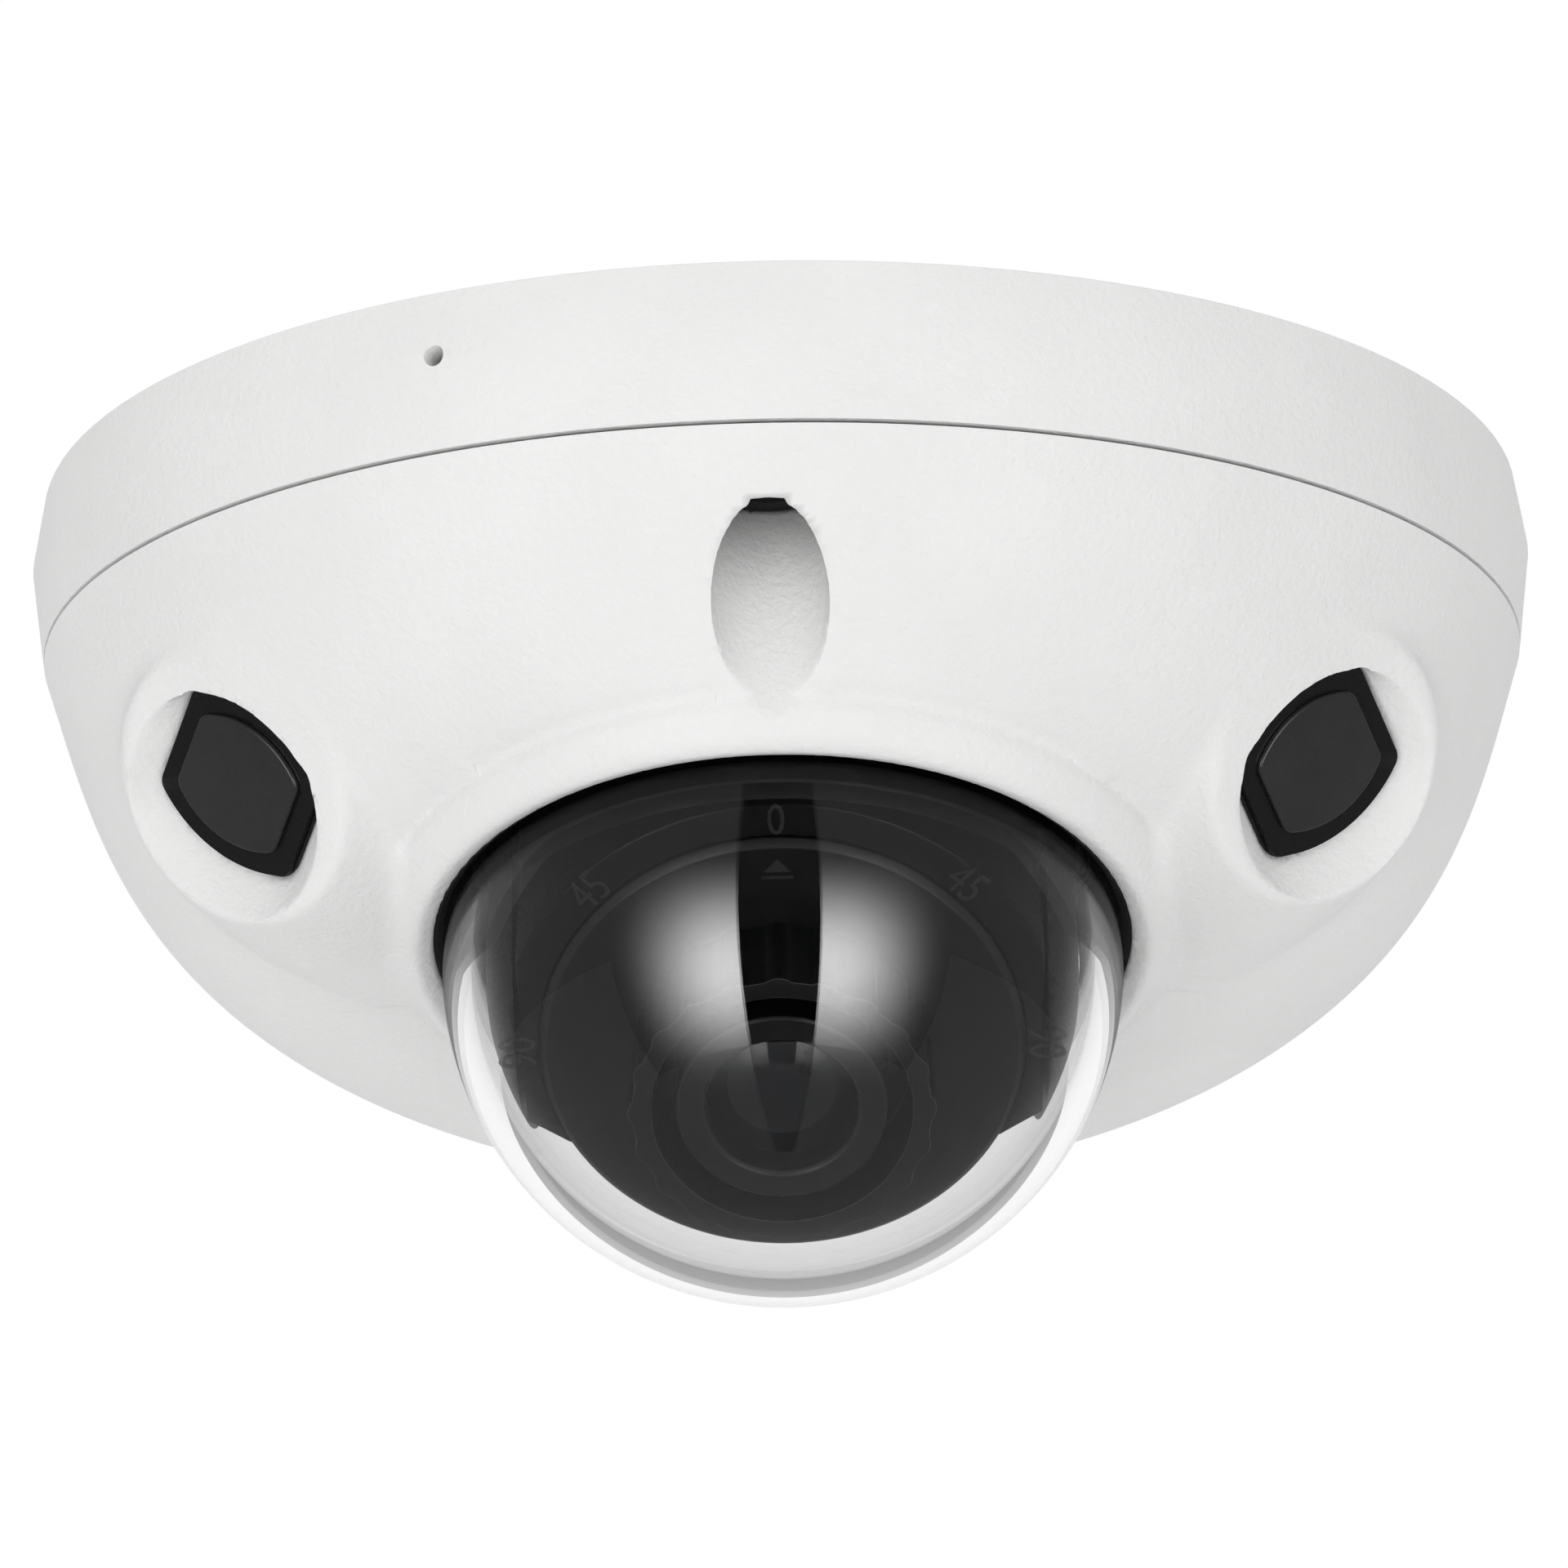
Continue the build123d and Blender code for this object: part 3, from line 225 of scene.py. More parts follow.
# ================================================================ cover
# Lengths are in mm. A name ending in _R is a radius, in _Z a height in the frame, and in _H a height along
# the dome's axis from its centre or, for a pod and its window, along the pod's axis from the pod's centre.
SEAM_R, SEAM_Z, SEAM_GAP = 54.2, -11.65, 0.3
COVER_EDGE_Z = SEAM_Z - SEAM_GAP / 2
PLATE_H, COLLAR_FOOT_R, COLLAR_FOOT_H, OPENING_R = -6.2, 28.0, -3.8, 24.8
COLLAR_TOP_H, COLLAR_OUT, COLLAR_DOWN, COLLAR_SLANT = -1.05, 2.7, 2.0, 3.36
COLLAR_SWELL, CREASE_SHIFT, CREASE_DEPTH, CREASE_WIDTH = 0.45, 0.8, 0.4, 0.7
CHAMFER_FOOT_H, CHAMFER_RISE, CHAMFER_SLANT = -1.7, 2.0, 2.24
COLLAR_BLEND, COLLAR_ROUND, OPENING_ROUND, GROOVE_ROUND = 0.3, 1.0, 0.25, 0.1
POD_BLEND, POD_ROUND, RECESS_ROUND = 1.2, 0.7, 0.12
DOME_TILT = np.arctan2(-DOME_DIR[1], -DOME_DIR[2])          # from straight down, in radians
SCREW_PCR, SCREW_ANGLES, GROOVE_R, GROOVE_TOP_Z = 47.4, (-90, 30, 150), 4.05, -14.4
HEAD_ROOM_R, HEAD_TOP_Z, SHANK_ROOM_R, SHANK_ROOM_TOP_Z, COLUMN_R = 2.4, -11.0, 1.3, 5.0, 5.6
# the last five set the painted shade in each screw groove's blind top: the height where it fades out, its darkest
# share on the groove wall, its curve, the depth of the fully dark zone at the top, and how far outside the groove
# wall it reaches
GROOVE_FADE_Z, GROOVE_SHADE_MOST, GROOVE_SHADE_CURVE, GROOVE_SHADE_TOP, GROOVE_SHADE_REACH = -21.5, 0.62, 1.8, 0.25, 0.12
SPIGOT_R, SPIGOT_TOP_Z, SPIGOT_SEGMENTS = 3.9, -9.5, 48
CLAMP_X, CLAMP_Y, CLAMP_EAR_R, CLAMP_SEAT_H = 22.75, 19.09, 2.1, -8.5
POD_CENTRE, POD_AXIS, POD_SIDE = (38.0, -24.9, -27.5), (0.57, -0.67, -0.48), (0.746, 0.174, 0.642)
POD_TOP_R, POD_SPREAD, POD_FOOT_SHIFT, POD_RISE, POD_DEEPEST, POD_STEEPNESS = 10.0, 5.4, 1.8, 9.2, 1.5, 0.86
POD_RIM_R, POD_RIM_SHIFT, POD_RIM_H, RECESS_STEEPNESS = 8.5, 1.9, 1.2, 0.75
WINDOW_HALF, WINDOW_STRAIGHT, WINDOW_BULGE, WINDOW_CORNER = 6.4, 4.3, 6.3, 1.32
TUBE_R, TUBE_TOP_H, IR_BOARD_R, IR_CLEAR_R, LEDGE_W = 8.4, -1.0, 7.3, 6.4, 1.3
WINDOW_TOP_H, WINDOW_FLOOR_H, LEDGE_LOW_H, IR_BOARD_H, IR_BACK_H = -0.7, -2.7, -3.8, -5.0, -7.4
BOARD_ROOM_DEPTH = 6.0
RING_START, RING_HALVINGS = -0.12, 26          # where the search for a ring starts, and its number of steps


def dome_ring(radius, height):
    """Front point, back point and half width of a circle around the dome axis."""
    y, z = (CENTRE + DOME_DIR * height)[1:]
    along = np.array([cos(DOME_TILT), -sin(DOME_TILT)]) * radius
    return (y - along[0], z - along[1], y + along[0], z + along[1], radius)


# each control ring: front y, front z, back y, back z, half width
SKIN = (
    (-SEAM_R, SEAM_Z, SEAM_R, SEAM_Z, SEAM_R), (-51.0, -17.5, 54.0, -26.9, 50.8),
    (-47.3, -23.1, 41.6, -48.3, 48.4), dome_ring(COLLAR_FOOT_R, COLLAR_FOOT_H),
)
LINING = (
    (-51.7, SEAM_Z, 51.7, SEAM_Z, 51.7), (-49.0, -16.2, 51.6, -26.0, 48.4),
    (-45.4, -21.9, 40.6, -45.9, 46.3), dome_ring(27.5, PLATE_H),
)


def ring_at(u, controls):
    """The ring a share u of the way down the control rings, by Bezier weights."""
    weights = ((1 - u) ** 3, 3 * u * (1 - u) ** 2, 3 * u * u * (1 - u), u ** 3)
    return [sum(w * c[i] for w, c in zip(weights, controls)) for i in range(5)]


def bowl(x, y, z, controls, end_h):
    """Distance to the bowl through the control rings, closed by the dome plane at end_h."""
    low = np.full(np.broadcast_shapes(np.shape(y), np.shape(z)), RING_START)
    high = np.ones_like(low)
    for _ in range(RING_HALVINGS):
        u = (low + high) / 2
        front_y, front_z, back_y, back_z, _ = ring_at(u, controls)
        side = (back_y - front_y) * (z - front_z) - (back_z - front_z) * (y - front_y)
        low, high = np.where(side < 0, u, low), np.where(side < 0, high, u)
    front_y, front_z, back_y, back_z, half_width = ring_at((low + high) / 2, controls)
    half_length = np.hypot(back_y - front_y, back_z - front_z) / 2
    along = ((y - (front_y + back_y) / 2) * (back_y - front_y)
             + (z - (front_z + back_z) / 2) * (back_z - front_z)) / (2 * half_length)
    rho = np.sqrt((x / half_width) ** 2 + (along / half_length) ** 2) + 1e-6
    slope = np.sqrt((x / half_width ** 2) ** 2 + (along / half_length ** 2) ** 2) + 1e-4
    height = (y - CENTRE[1]) * DOME_DIR[1] + (z - CENTRE[2]) * DOME_DIR[2]
    return np.maximum((rho - 1) * rho / slope, height - end_h)


def dome_across(y, z):
    """Distance from the plane through the dome axis and X."""
    return (y - CENTRE[1]) * DOME_DIR[2] - (z - CENTRE[2]) * DOME_DIR[1]


def dome_coordinates(x, y, z):
    """Radius and height about the dome axis."""
    height = (y - CENTRE[1]) * DOME_DIR[1] + (z - CENTRE[2]) * DOME_DIR[2]
    return np.sqrt(x ** 2 + dome_across(y, z) ** 2), height


def pod_coordinates(x, y, z):
    """Coordinates across, along and out of the right-hand pod; the left one is its mirror image."""
    out = np.array(POD_AXIS) / np.linalg.norm(POD_AXIS)
    across = np.array(POD_SIDE) - out * (np.array(POD_SIDE) @ out)
    across /= np.linalg.norm(across)
    along = np.cross(out, across)
    dx, dy, dz = np.abs(x) - POD_CENTRE[0], y - POD_CENTRE[1], z - POD_CENTRE[2]
    return [dx * v[0] + dy * v[1] + dz * v[2] for v in (across, along, out)]


def window_distance(px, py, inset=0.0):
    """Distance to the window's outline: two straight sides, two bulged ends, small corners."""
    half, straight, bulge = WINDOW_HALF - inset, WINDOW_STRAIGHT - inset * 0.8, WINDOW_BULGE - inset
    sag = bulge - straight
    bow = (half ** 2 + sag ** 2) / (2 * sag)
    ends = np.sqrt(px ** 2 + (np.abs(py) + bow - bulge) ** 2) - bow
    return smooth_max(np.abs(px) - half, ends, WINDOW_CORNER)


def screw_distance(x, y, radius):
    """Distance to the nearest of the three screw axes' cylinders."""
    result = None
    for angle in SCREW_ANGLES:
        cx, cy = SCREW_PCR * cos(radians(angle)), SCREW_PCR * sin(radians(angle))
        d = np.hypot(x - cx, y - cy) - radius
        result = d if result is None else np.minimum(result, d)
    return result


def cover_field(x, y, z):
    """The cover: skin, collar and pods less lining, opening, grooves and window seats."""
    skin = bowl(x, y, z, SKIN, COLLAR_FOOT_H)
    radius, height = dome_coordinates(x, y, z)
    outer = ((radius - COLLAR_FOOT_R) * COLLAR_OUT + (height - COLLAR_FOOT_H) * COLLAR_DOWN) / COLLAR_SLANT
    collar = smooth_max(outer - COLLAR_SWELL, height - COLLAR_TOP_H, COLLAR_ROUND)
    collar = np.maximum(collar, PLATE_H - height)
    body = smooth_min(skin, collar, COLLAR_BLEND)
    crease = np.hypot(radius - COLLAR_FOOT_R - CREASE_SHIFT, height - COLLAR_FOOT_H + CREASE_SHIFT / 2)
    body = body + CREASE_DEPTH * np.exp(-(crease / CREASE_WIDTH) ** 2)
    across, along, out = pod_coordinates(x, y, z)
    foot = np.clip((POD_RIM_H - out) / POD_RISE, 0, POD_DEEPEST)
    blister = np.hypot(across, along + POD_FOOT_SHIFT * foot) - (POD_TOP_R + POD_SPREAD * foot)
    blister = smooth_max(blister * POD_STEEPNESS, out - POD_RIM_H, POD_ROUND)
    body = smooth_min(body, blister, POD_BLEND)
    body = np.maximum(body, -bowl(x, y, z, LINING, PLATE_H))
    column = np.maximum(screw_distance(x, y, COLUMN_R), skin)
    ear = np.hypot(np.abs(x) - CLAMP_X, np.abs(dome_across(y, z)) - CLAMP_Y) - CLAMP_EAR_R
    ear = np.maximum(np.maximum(ear, CLAMP_SEAT_H - height), skin)
    body = np.minimum(np.minimum(body, column), ear)
    tube = np.maximum(np.hypot(across, along) - TUBE_R, np.maximum(out - TUBE_TOP_H, IR_BACK_H - out))
    body = np.minimum(body, tube)
    # opening, with a chamfer that faces the dome
    chamfer = ((radius - OPENING_R) - (height - CHAMFER_FOOT_H) * CHAMFER_RISE) / CHAMFER_SLANT
    body = smooth_max(body, -chamfer, OPENING_ROUND)
    body = smooth_max(body, OPENING_R - radius, OPENING_ROUND)
    # grooves, head seats and screw holes
    for size, top in ((GROOVE_R, GROOVE_TOP_Z), (HEAD_ROOM_R, HEAD_TOP_Z), (SHANK_ROOM_R, SHANK_ROOM_TOP_Z)):
        body = smooth_max(body, -np.maximum(screw_distance(x, y, size), z - top), GROOVE_ROUND)
    # recess above the window, then its seat and the room for the board behind it
    t = np.clip((out - WINDOW_TOP_H) / (POD_RIM_H - WINDOW_TOP_H), 0, 1)
    seat = window_distance(across, along)
    funnel = (1 - t) * seat + t * (np.hypot(across, along + POD_RIM_SHIFT) - POD_RIM_R)
    recess = np.maximum(funnel * RECESS_STEEPNESS, WINDOW_TOP_H - out)
    body = smooth_max(body, -recess, RECESS_ROUND)
    body = np.maximum(body, -np.maximum(seat, WINDOW_FLOOR_H - out))
    body = np.maximum(body, -np.maximum(window_distance(across, along, LEDGE_W), LEDGE_LOW_H - out))
    around = np.hypot(across, along)
    room = np.maximum(around - IR_CLEAR_R, np.maximum(out - LEDGE_LOW_H, IR_BOARD_H - out))
    body = np.maximum(body, -room)
    room = np.maximum(around - IR_BOARD_R, np.maximum(out - IR_BOARD_H, IR_BACK_H - BOARD_ROOM_DEPTH - out))
    return np.maximum(body, -room)


def shade_grooves(obj):
    """Stores the painted shade in the blind top of each screw groove, from 0 (none) to 1 (darkest)."""
    verts = np.empty(len(obj.data.vertices) * 3)
    obj.data.vertices.foreach_get("co", verts)
    x, y, z = verts.reshape(-1, 3).T / MM
    # painted shade: darker the higher up the groove, standing in for the shade deep in the blind hole
    rise = np.clip((z - GROOVE_FADE_Z) / (GROOVE_TOP_Z - GROOVE_FADE_Z), 0, 1)
    painted_shade = GROOVE_SHADE_MOST * rise ** GROOVE_SHADE_CURVE
    painted_shade = np.where(z > GROOVE_TOP_Z - GROOVE_SHADE_TOP, 1.0, painted_shade) * (screw_distance(x, y, GROOVE_R) < GROOVE_SHADE_REACH)
    obj.data.attributes.new("painted_shade", "FLOAT", "POINT").data.foreach_set("value", painted_shade.astype(np.float32))


COVER_GRID, COVER_GRID_QUICK, GRID_MARGIN, GRID_MARGIN_TOP, COVER_SHARP_ANGLE = 0.4, 0.8, 1.5, 1.6, 50


def make_cover():
    """The cover from its field, cut flat at its upper edge, and the three spigots that rise above it."""
    low, high = (np.array(c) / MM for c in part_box("cover"))
    step = COVER_GRID
    top = [high[0] + GRID_MARGIN, high[1] + GRID_MARGIN, COVER_EDGE_Z + GRID_MARGIN_TOP]
    verts, faces = surface_net(cover_field, low - GRID_MARGIN, top, step)
    obj = mesh_object("cover_shell", verts, faces.tolist(), None)
    work = bmesh.new()
    work.from_mesh(obj.data)
    cut = bmesh.ops.bisect_plane(
        work, geom=work.verts[:] + work.edges[:] + work.faces[:], dist=1e-7,
        plane_co=(0, 0, COVER_EDGE_Z * MM), plane_no=(0, 0, 1), clear_outer=True)
    edges = [e for e in cut["geom_cut"] if isinstance(e, bmesh.types.BMEdge)]
    bmesh.ops.triangle_fill(work, edges=edges, use_beauty=True, normal=(0, 0, 1))
    bmesh.ops.recalc_face_normals(work, faces=work.faces)
    work.to_mesh(obj.data)
    work.free()
    shade(obj, COVER_SHARP_ANGLE)
    shade_grooves(obj)
    ride_on(obj, "housing", "white_housing", "cover")
    for number, angle in enumerate(SCREW_ANGLES, 1):
        centre = (SCREW_PCR * cos(radians(angle)), SCREW_PCR * sin(radians(angle)), 0)
        profile = (
            (HEAD_ROOM_R, COVER_EDGE_Z), (SPIGOT_R, COVER_EDGE_Z), (SPIGOT_R, SPIGOT_TOP_Z),
            (SHANK_ROOM_R, SPIGOT_TOP_Z), (SHANK_ROOM_R, HEAD_TOP_Z), (HEAD_ROOM_R, HEAD_TOP_Z),
        )
        spigot = lathe(f"cover_spigot_{number}", centre, (0, 0, 1), profile, SPIGOT_SEGMENTS)
        ride_on(spigot, "housing", "white_housing", "cover")


# ================================================================ materials
def parts_of(material):
    """A material's nodes, links and Principled shader."""
    nodes, links = material.node_tree.nodes, material.node_tree.links
    return nodes, links, next(n for n in nodes if n.type == "BSDF_PRINCIPLED")


def new_material(name):
    """Material with a Principled shader; returns the material, its nodes, links and shader."""
    material = bpy.data.materials.new(name)
    material.use_nodes = True
    return material, *parts_of(material)


def noise(nodes, links, grain_mm, detail=3.0, roughness=0.55):
    """Noise texture in object space whose grains are about the given size."""
    place_node = nodes.new("ShaderNodeTexCoord")
    texture = nodes.new("ShaderNodeTexNoise")
    texture.inputs["Scale"].default_value = 1 / (grain_mm * MM)
    texture.inputs["Detail"].default_value = detail
    texture.inputs["Roughness"].default_value = roughness
    links.new(place_node.outputs["Object"], texture.inputs["Vector"])
    return texture.outputs["Fac"]


def new_math(nodes, links, operation, first, second):
    """Math node of two inputs, each a socket or a number."""
    node = nodes.new("ShaderNodeMath")
    node.operation = operation
    for socket, value in zip(node.inputs, (first, second)):
        if isinstance(value, float):
            socket.default_value = value
        else:
            links.new(value, socket)
    return node.outputs[0]


def grey(value):
    return (value, value, value)


MIX_FACTOR, MIX_FIRST, MIX_SECOND, MIX_RESULT = 0, 6, 7, 2          # a Mix node's colour sockets


def mix_colours(nodes, links, factor, first, second):
    """Colour from the first to the second as the factor rises; each is a socket or a grey level."""
    node = nodes.new("ShaderNodeMix")
    node.data_type = "RGBA"
    links.new(factor, node.inputs[MIX_FACTOR])
    for place_in_node, colour in ((MIX_FIRST, first), (MIX_SECOND, second)):
        if isinstance(colour, float):
            node.inputs[place_in_node].default_value = (*grey(colour), 1)
        else:
            links.new(colour, node.inputs[place_in_node])
    return node.outputs[MIX_RESULT]


def height_along(nodes, links, vector, direction):
    """How far a vector socket reaches along a fixed direction."""
    node = nodes.new("ShaderNodeVectorMath")
    node.operation = "DOT_PRODUCT"
    node.inputs[1].default_value = direction
    links.new(vector, node.inputs[0])
    return node.outputs["Value"]


def ramp(nodes, links, source, low, high, start=0.3, end=0.7):
    """Colour or grey ramp of a noise."""
    node = nodes.new("ShaderNodeValToRGB")
    for element, position, value in zip(node.color_ramp.elements, (start, end), (low, high)):
        element.position = position
        element.color = (*value, 1.0) if hasattr(value, "__len__") else (value, value, value, 1.0)
    links.new(source, node.inputs["Fac"])
    return node.outputs["Color"]


def bump(nodes, links, shader, layers):
    """Stacked bumps: each layer is (height source, strength, depth in mm)."""
    normal = None
    for source, strength, depth_mm in layers:
        node = nodes.new("ShaderNodeBump")
        node.inputs["Strength"].default_value = strength
        node.inputs["Distance"].default_value = depth_mm * MM
        links.new(source, node.inputs["Height"])
        if normal is not None:
            links.new(normal, node.inputs["Normal"])
        normal = node.outputs["Normal"]
    links.new(normal, shader.inputs["Normal"])


def surface(name, dark, light, rough, grain_mm, depth_mm, metallic=0.0, patch_mm=6.0, coat=0.0, strength=0.5,
            specular=0.5):
    """Moulded, painted or rubber surface: patchy colour, uneven gloss and a fine grain."""
    material, nodes, links, shader = new_material(name)
    patches = noise(nodes, links, patch_mm, 4.0)
    grain = noise(nodes, links, grain_mm, 2.0)
    links.new(ramp(nodes, links, patches, dark, light), shader.inputs["Base Color"])
    links.new(ramp(nodes, links, grain, rough[0], rough[1]), shader.inputs["Roughness"])
    shader.inputs["Metallic"].default_value = metallic
    shader.inputs["Specular IOR Level"].default_value = specular
    if coat:
        shader.inputs["Coat Weight"].default_value = coat
        shader.inputs["Coat Roughness"].default_value = 0.08
    bump(nodes, links, shader, [(patches, 0.15, 0.02), (grain, strength, depth_mm)])
    return material


def glass(name, tint, ior, rough=(0.0, 0.03)):
    """Clear part with faint handling marks in its gloss."""
    material, nodes, links, shader = new_material(name)
    shader.inputs["Base Color"].default_value = (*tint, 1.0)
    shader.inputs["Transmission Weight"].default_value = 1.0
    shader.inputs["IOR"].default_value = ior
    marks = noise(nodes, links, 3.0, 6.0)
    links.new(ramp(nodes, links, marks, rough[0], rough[1], 0.55, 0.8), shader.inputs["Roughness"])
    return material


# painted highlight on rounded edges: how pale an edge is painted, by how squarely it faces along the lens axis
EDGE_HIGHLIGHT_STOPS = ((0.0, 0.0), (0.3, 0.0), (0.5, 1.0), (0.85, 1.0), (0.97, 0.0))


def plastic_with_painted_highlight(name, dark, light, rough, grain_mm, edge, specular):
    """Black moulded plastic whose rounded edges round the lens axis carry a painted highlight, a paler line."""
    material = surface(name, dark, light, rough, grain_mm, 0.008, patch_mm=3.0, specular=specular)
    nodes, links, shader = parts_of(material)
    plain = shader.inputs["Base Color"].links[0].from_socket
    slant = height_along(nodes, links, nodes.new("ShaderNodeTexCoord").outputs["Normal"], LENS_DIR)
    highlight_band = nodes.new("ShaderNodeValToRGB")
    while len(highlight_band.color_ramp.elements) < len(EDGE_HIGHLIGHT_STOPS):
        highlight_band.color_ramp.elements.new(0.5)
    for element, (position, value) in zip(highlight_band.color_ramp.elements, EDGE_HIGHLIGHT_STOPS):
        element.position = position
        element.color = (*grey(value), 1)
    links.new(new_math(nodes, links, "ABSOLUTE", slant, 0.0), highlight_band.inputs["Fac"])
    # painted highlight: the edge grey is mixed in on rounded edges that face part way along the lens axis
    links.new(mix_colours(nodes, links, highlight_band.outputs["Color"], plain, edge), shader.inputs["Base Color"])
    return material


# the last is the grey that the painted shade in the screw grooves darkens the coat towards
COAT_PATCH_MM, COAT_GRAIN_MM, COAT_GRAIN_DEPTH_MM, GROOVE_SHADE_GREY = 14.0, 0.55, 0.12, 0.02


def powder_coat():
    """White powder coat: fine orange-peel grain, faint tone patches, and painted shade darkening the blind top of
    each screw groove.
    """
    material, nodes, links, shader = new_material("powder_coat_white")
    patches = noise(nodes, links, COAT_PATCH_MM, 4.0)
    grain = noise(nodes, links, COAT_GRAIN_MM, 3.0, 0.6)
    coat = ramp(nodes, links, patches, (0.83, 0.83, 0.825), (0.865, 0.865, 0.86))
    # painted shade: the groove attribute mixes the coat towards a dark grey
    painted_shade_node = nodes.new("ShaderNodeAttribute")
    painted_shade_node.attribute_name = "painted_shade"
    links.new(mix_colours(nodes, links, painted_shade_node.outputs["Fac"], coat, GROOVE_SHADE_GREY), shader.inputs["Base Color"])
    links.new(ramp(nodes, links, grain, 0.45, 0.6), shader.inputs["Roughness"])
    shader.inputs["Specular IOR Level"].default_value = 0.35
    bump(nodes, links, shader, [(patches, 0.15, 0.02), (grain, 1.0, COAT_GRAIN_DEPTH_MM)])
    return material


PANEL_PAINT_MM, BORDER_GREY = 0.3, 0.008


def smoked_window():
    """Smoked infrared window: black printed border, with the raised panel in the middle a shade lighter."""
    material, nodes, links, shader = new_material("smoked_window")
    out = np.abs(POD_AXIS) / np.linalg.norm(POD_AXIS)
    coords = np.empty(len(frame["nodes"]["ir_window_right"].data.vertices) * 3)
    frame["nodes"]["ir_window_right"].data.vertices.foreach_get("co", coords)
    panel_top = float((np.abs(coords.reshape(-1, 3)) @ out).max())
    mirrored = nodes.new("ShaderNodeVectorMath")
    mirrored.operation = "ABSOLUTE"
    links.new(nodes.new("ShaderNodeTexCoord").outputs["Object"], mirrored.inputs[0])
    height = height_along(nodes, links, mirrored.outputs["Vector"], out)
    panel = new_math(nodes, links, "GREATER_THAN", height, panel_top - PANEL_PAINT_MM * MM)
    paler = ramp(nodes, links, noise(nodes, links, 5.0, 4.0), grey(0.026), grey(0.032))
    links.new(mix_colours(nodes, links, panel, BORDER_GREY, paler), shader.inputs["Base Color"])
    links.new(ramp(nodes, links, noise(nodes, links, 0.5, 2.0), 0.2, 0.3), shader.inputs["Roughness"])
    shader.inputs["Specular IOR Level"].default_value = 0.35
    shader.inputs["Coat Weight"].default_value = 0.2
    shader.inputs["Coat Roughness"].default_value = 0.08
    return material


MATERIALS = {
    "white_housing": powder_coat(),
    "black_screw": surface("screw_black", grey(0.03), grey(0.05), (0.25, 0.4), 0.2, 0.006, metallic=0.8,
                           patch_mm=1.5),
    "black_rubber": surface("rubber_black", grey(0.012), grey(0.022), (0.55, 0.75), 0.25, 0.02, patch_mm=2.0),
    "clear_dome": glass("dome_polycarbonate", (0.995, 0.995, 0.995), 1.585),
    "plated_steel": surface("plated_steel", (0.42, 0.42, 0.41), (0.56, 0.56, 0.54), (0.28, 0.5), 0.3, 0.008,
                            metallic=1.0, patch_mm=3.0),
    "screw_steel": surface("screw_steel", (0.40, 0.40, 0.40), (0.55, 0.55, 0.54), (0.25, 0.42), 0.2, 0.006,
                           metallic=1.0, patch_mm=1.5),
    "ir_window": smoked_window(),
    "circuit_board": surface("board_green", (0.008, 0.07, 0.03), (0.014, 0.10, 0.045), (0.3, 0.45), 0.6, 0.02,
                             patch_mm=3.0, coat=0.3),
    "spreader_aluminium": surface("spreader_aluminium", grey(0.6), grey(0.72), (0.25, 0.4), 0.3, 0.01,
                                  metallic=1.0),
    "emitter": surface("emitter_resin", (0.55, 0.52, 0.36), (0.65, 0.62, 0.45), (0.1, 0.2), 0.5, 0.002,
                       coat=0.5),
    "microphone_can": surface("microphone_can", grey(0.5), grey(0.62), (0.25, 0.4), 0.2, 0.005, metallic=1.0),
    "chip": surface("chip_black", grey(0.015), grey(0.025), (0.35, 0.5), 0.15, 0.01, patch_mm=2.0),
    "thermal_pad": surface("thermal_pad", (0.28, 0.36, 0.45), (0.33, 0.42, 0.52), (0.7, 0.85), 0.4, 0.03),
    "jack_shield": surface("jack_shield", grey(0.55), grey(0.68), (0.22, 0.38), 0.3, 0.006, metallic=1.0),
    "terminal_plastic": surface("terminal_green", (0.02, 0.16, 0.05), (0.03, 0.20, 0.07), (0.35, 0.5), 0.3,
                                0.01),
    "card_plastic": surface("card_black", grey(0.02), grey(0.03), (0.4, 0.55), 0.2, 0.008),
    "switch_plastic": surface("switch_black", grey(0.016), grey(0.026), (0.4, 0.55), 0.2, 0.008),
    "gimbal_plastic": surface("gimbal_black", grey(0.005), grey(0.008), (0.36, 0.52), 0.22, 0.010,
                              patch_mm=4.0, specular=0.22),
    "lens_plastic": surface("lens_black", grey(0.006), grey(0.009), (0.30, 0.45), 0.18, 0.006, patch_mm=3.0,
                            specular=0.3),
    # the hood, barrel and turret get a painted highlight along their rounded edges
    "hood_painted_highlight": plastic_with_painted_highlight("hood_black", grey(0.006), grey(0.009), (0.30, 0.45), 0.18, 0.5, 0.3),
    "barrel_painted_highlight": plastic_with_painted_highlight("barrel_black", grey(0.006), grey(0.009), (0.30, 0.45), 0.18, 0.03, 0.3),
    "turret_painted_highlight": plastic_with_painted_highlight("turret_black", grey(0.008), grey(0.012), (0.32, 0.48), 0.22, 0.03, 0.25),
    "mark_grey": surface("mark_grey", grey(0.022), grey(0.034), (0.3, 0.45), 0.2, 0.004, patch_mm=1.0),
    "lens_glass": surface("lens_coated", (0.004, 0.005, 0.008), (0.006, 0.007, 0.011), (0.02, 0.05), 0.6,
                          0.0005, patch_mm=3.0, coat=0.15, strength=0.05, specular=0.2),
}


def paint(obj, slot):
    """Gives the object the material of a slot."""
    obj.data.materials.clear()
    obj.data.materials.append(MATERIALS[slot])
    return obj


# ================================================================ pieces
def ride_on(obj, body, slot, *nodes):
    """The piece moves with the body, is painted as the slot, and stands for the CAD nodes."""
    paint(obj, slot)
    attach(obj, body)
    if nodes:
        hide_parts(*nodes)
    return obj


DOME_R, DOME_WALL, FLANGE_R, FLANGE_SEAT_H, FLANGE_TOP_H = 24.15, 2.0, 27.0, -8.5, -6.9
DOME_RINGS, DOME_SEGMENTS, DOME_SHARP_ANGLE = 56, 256, 40


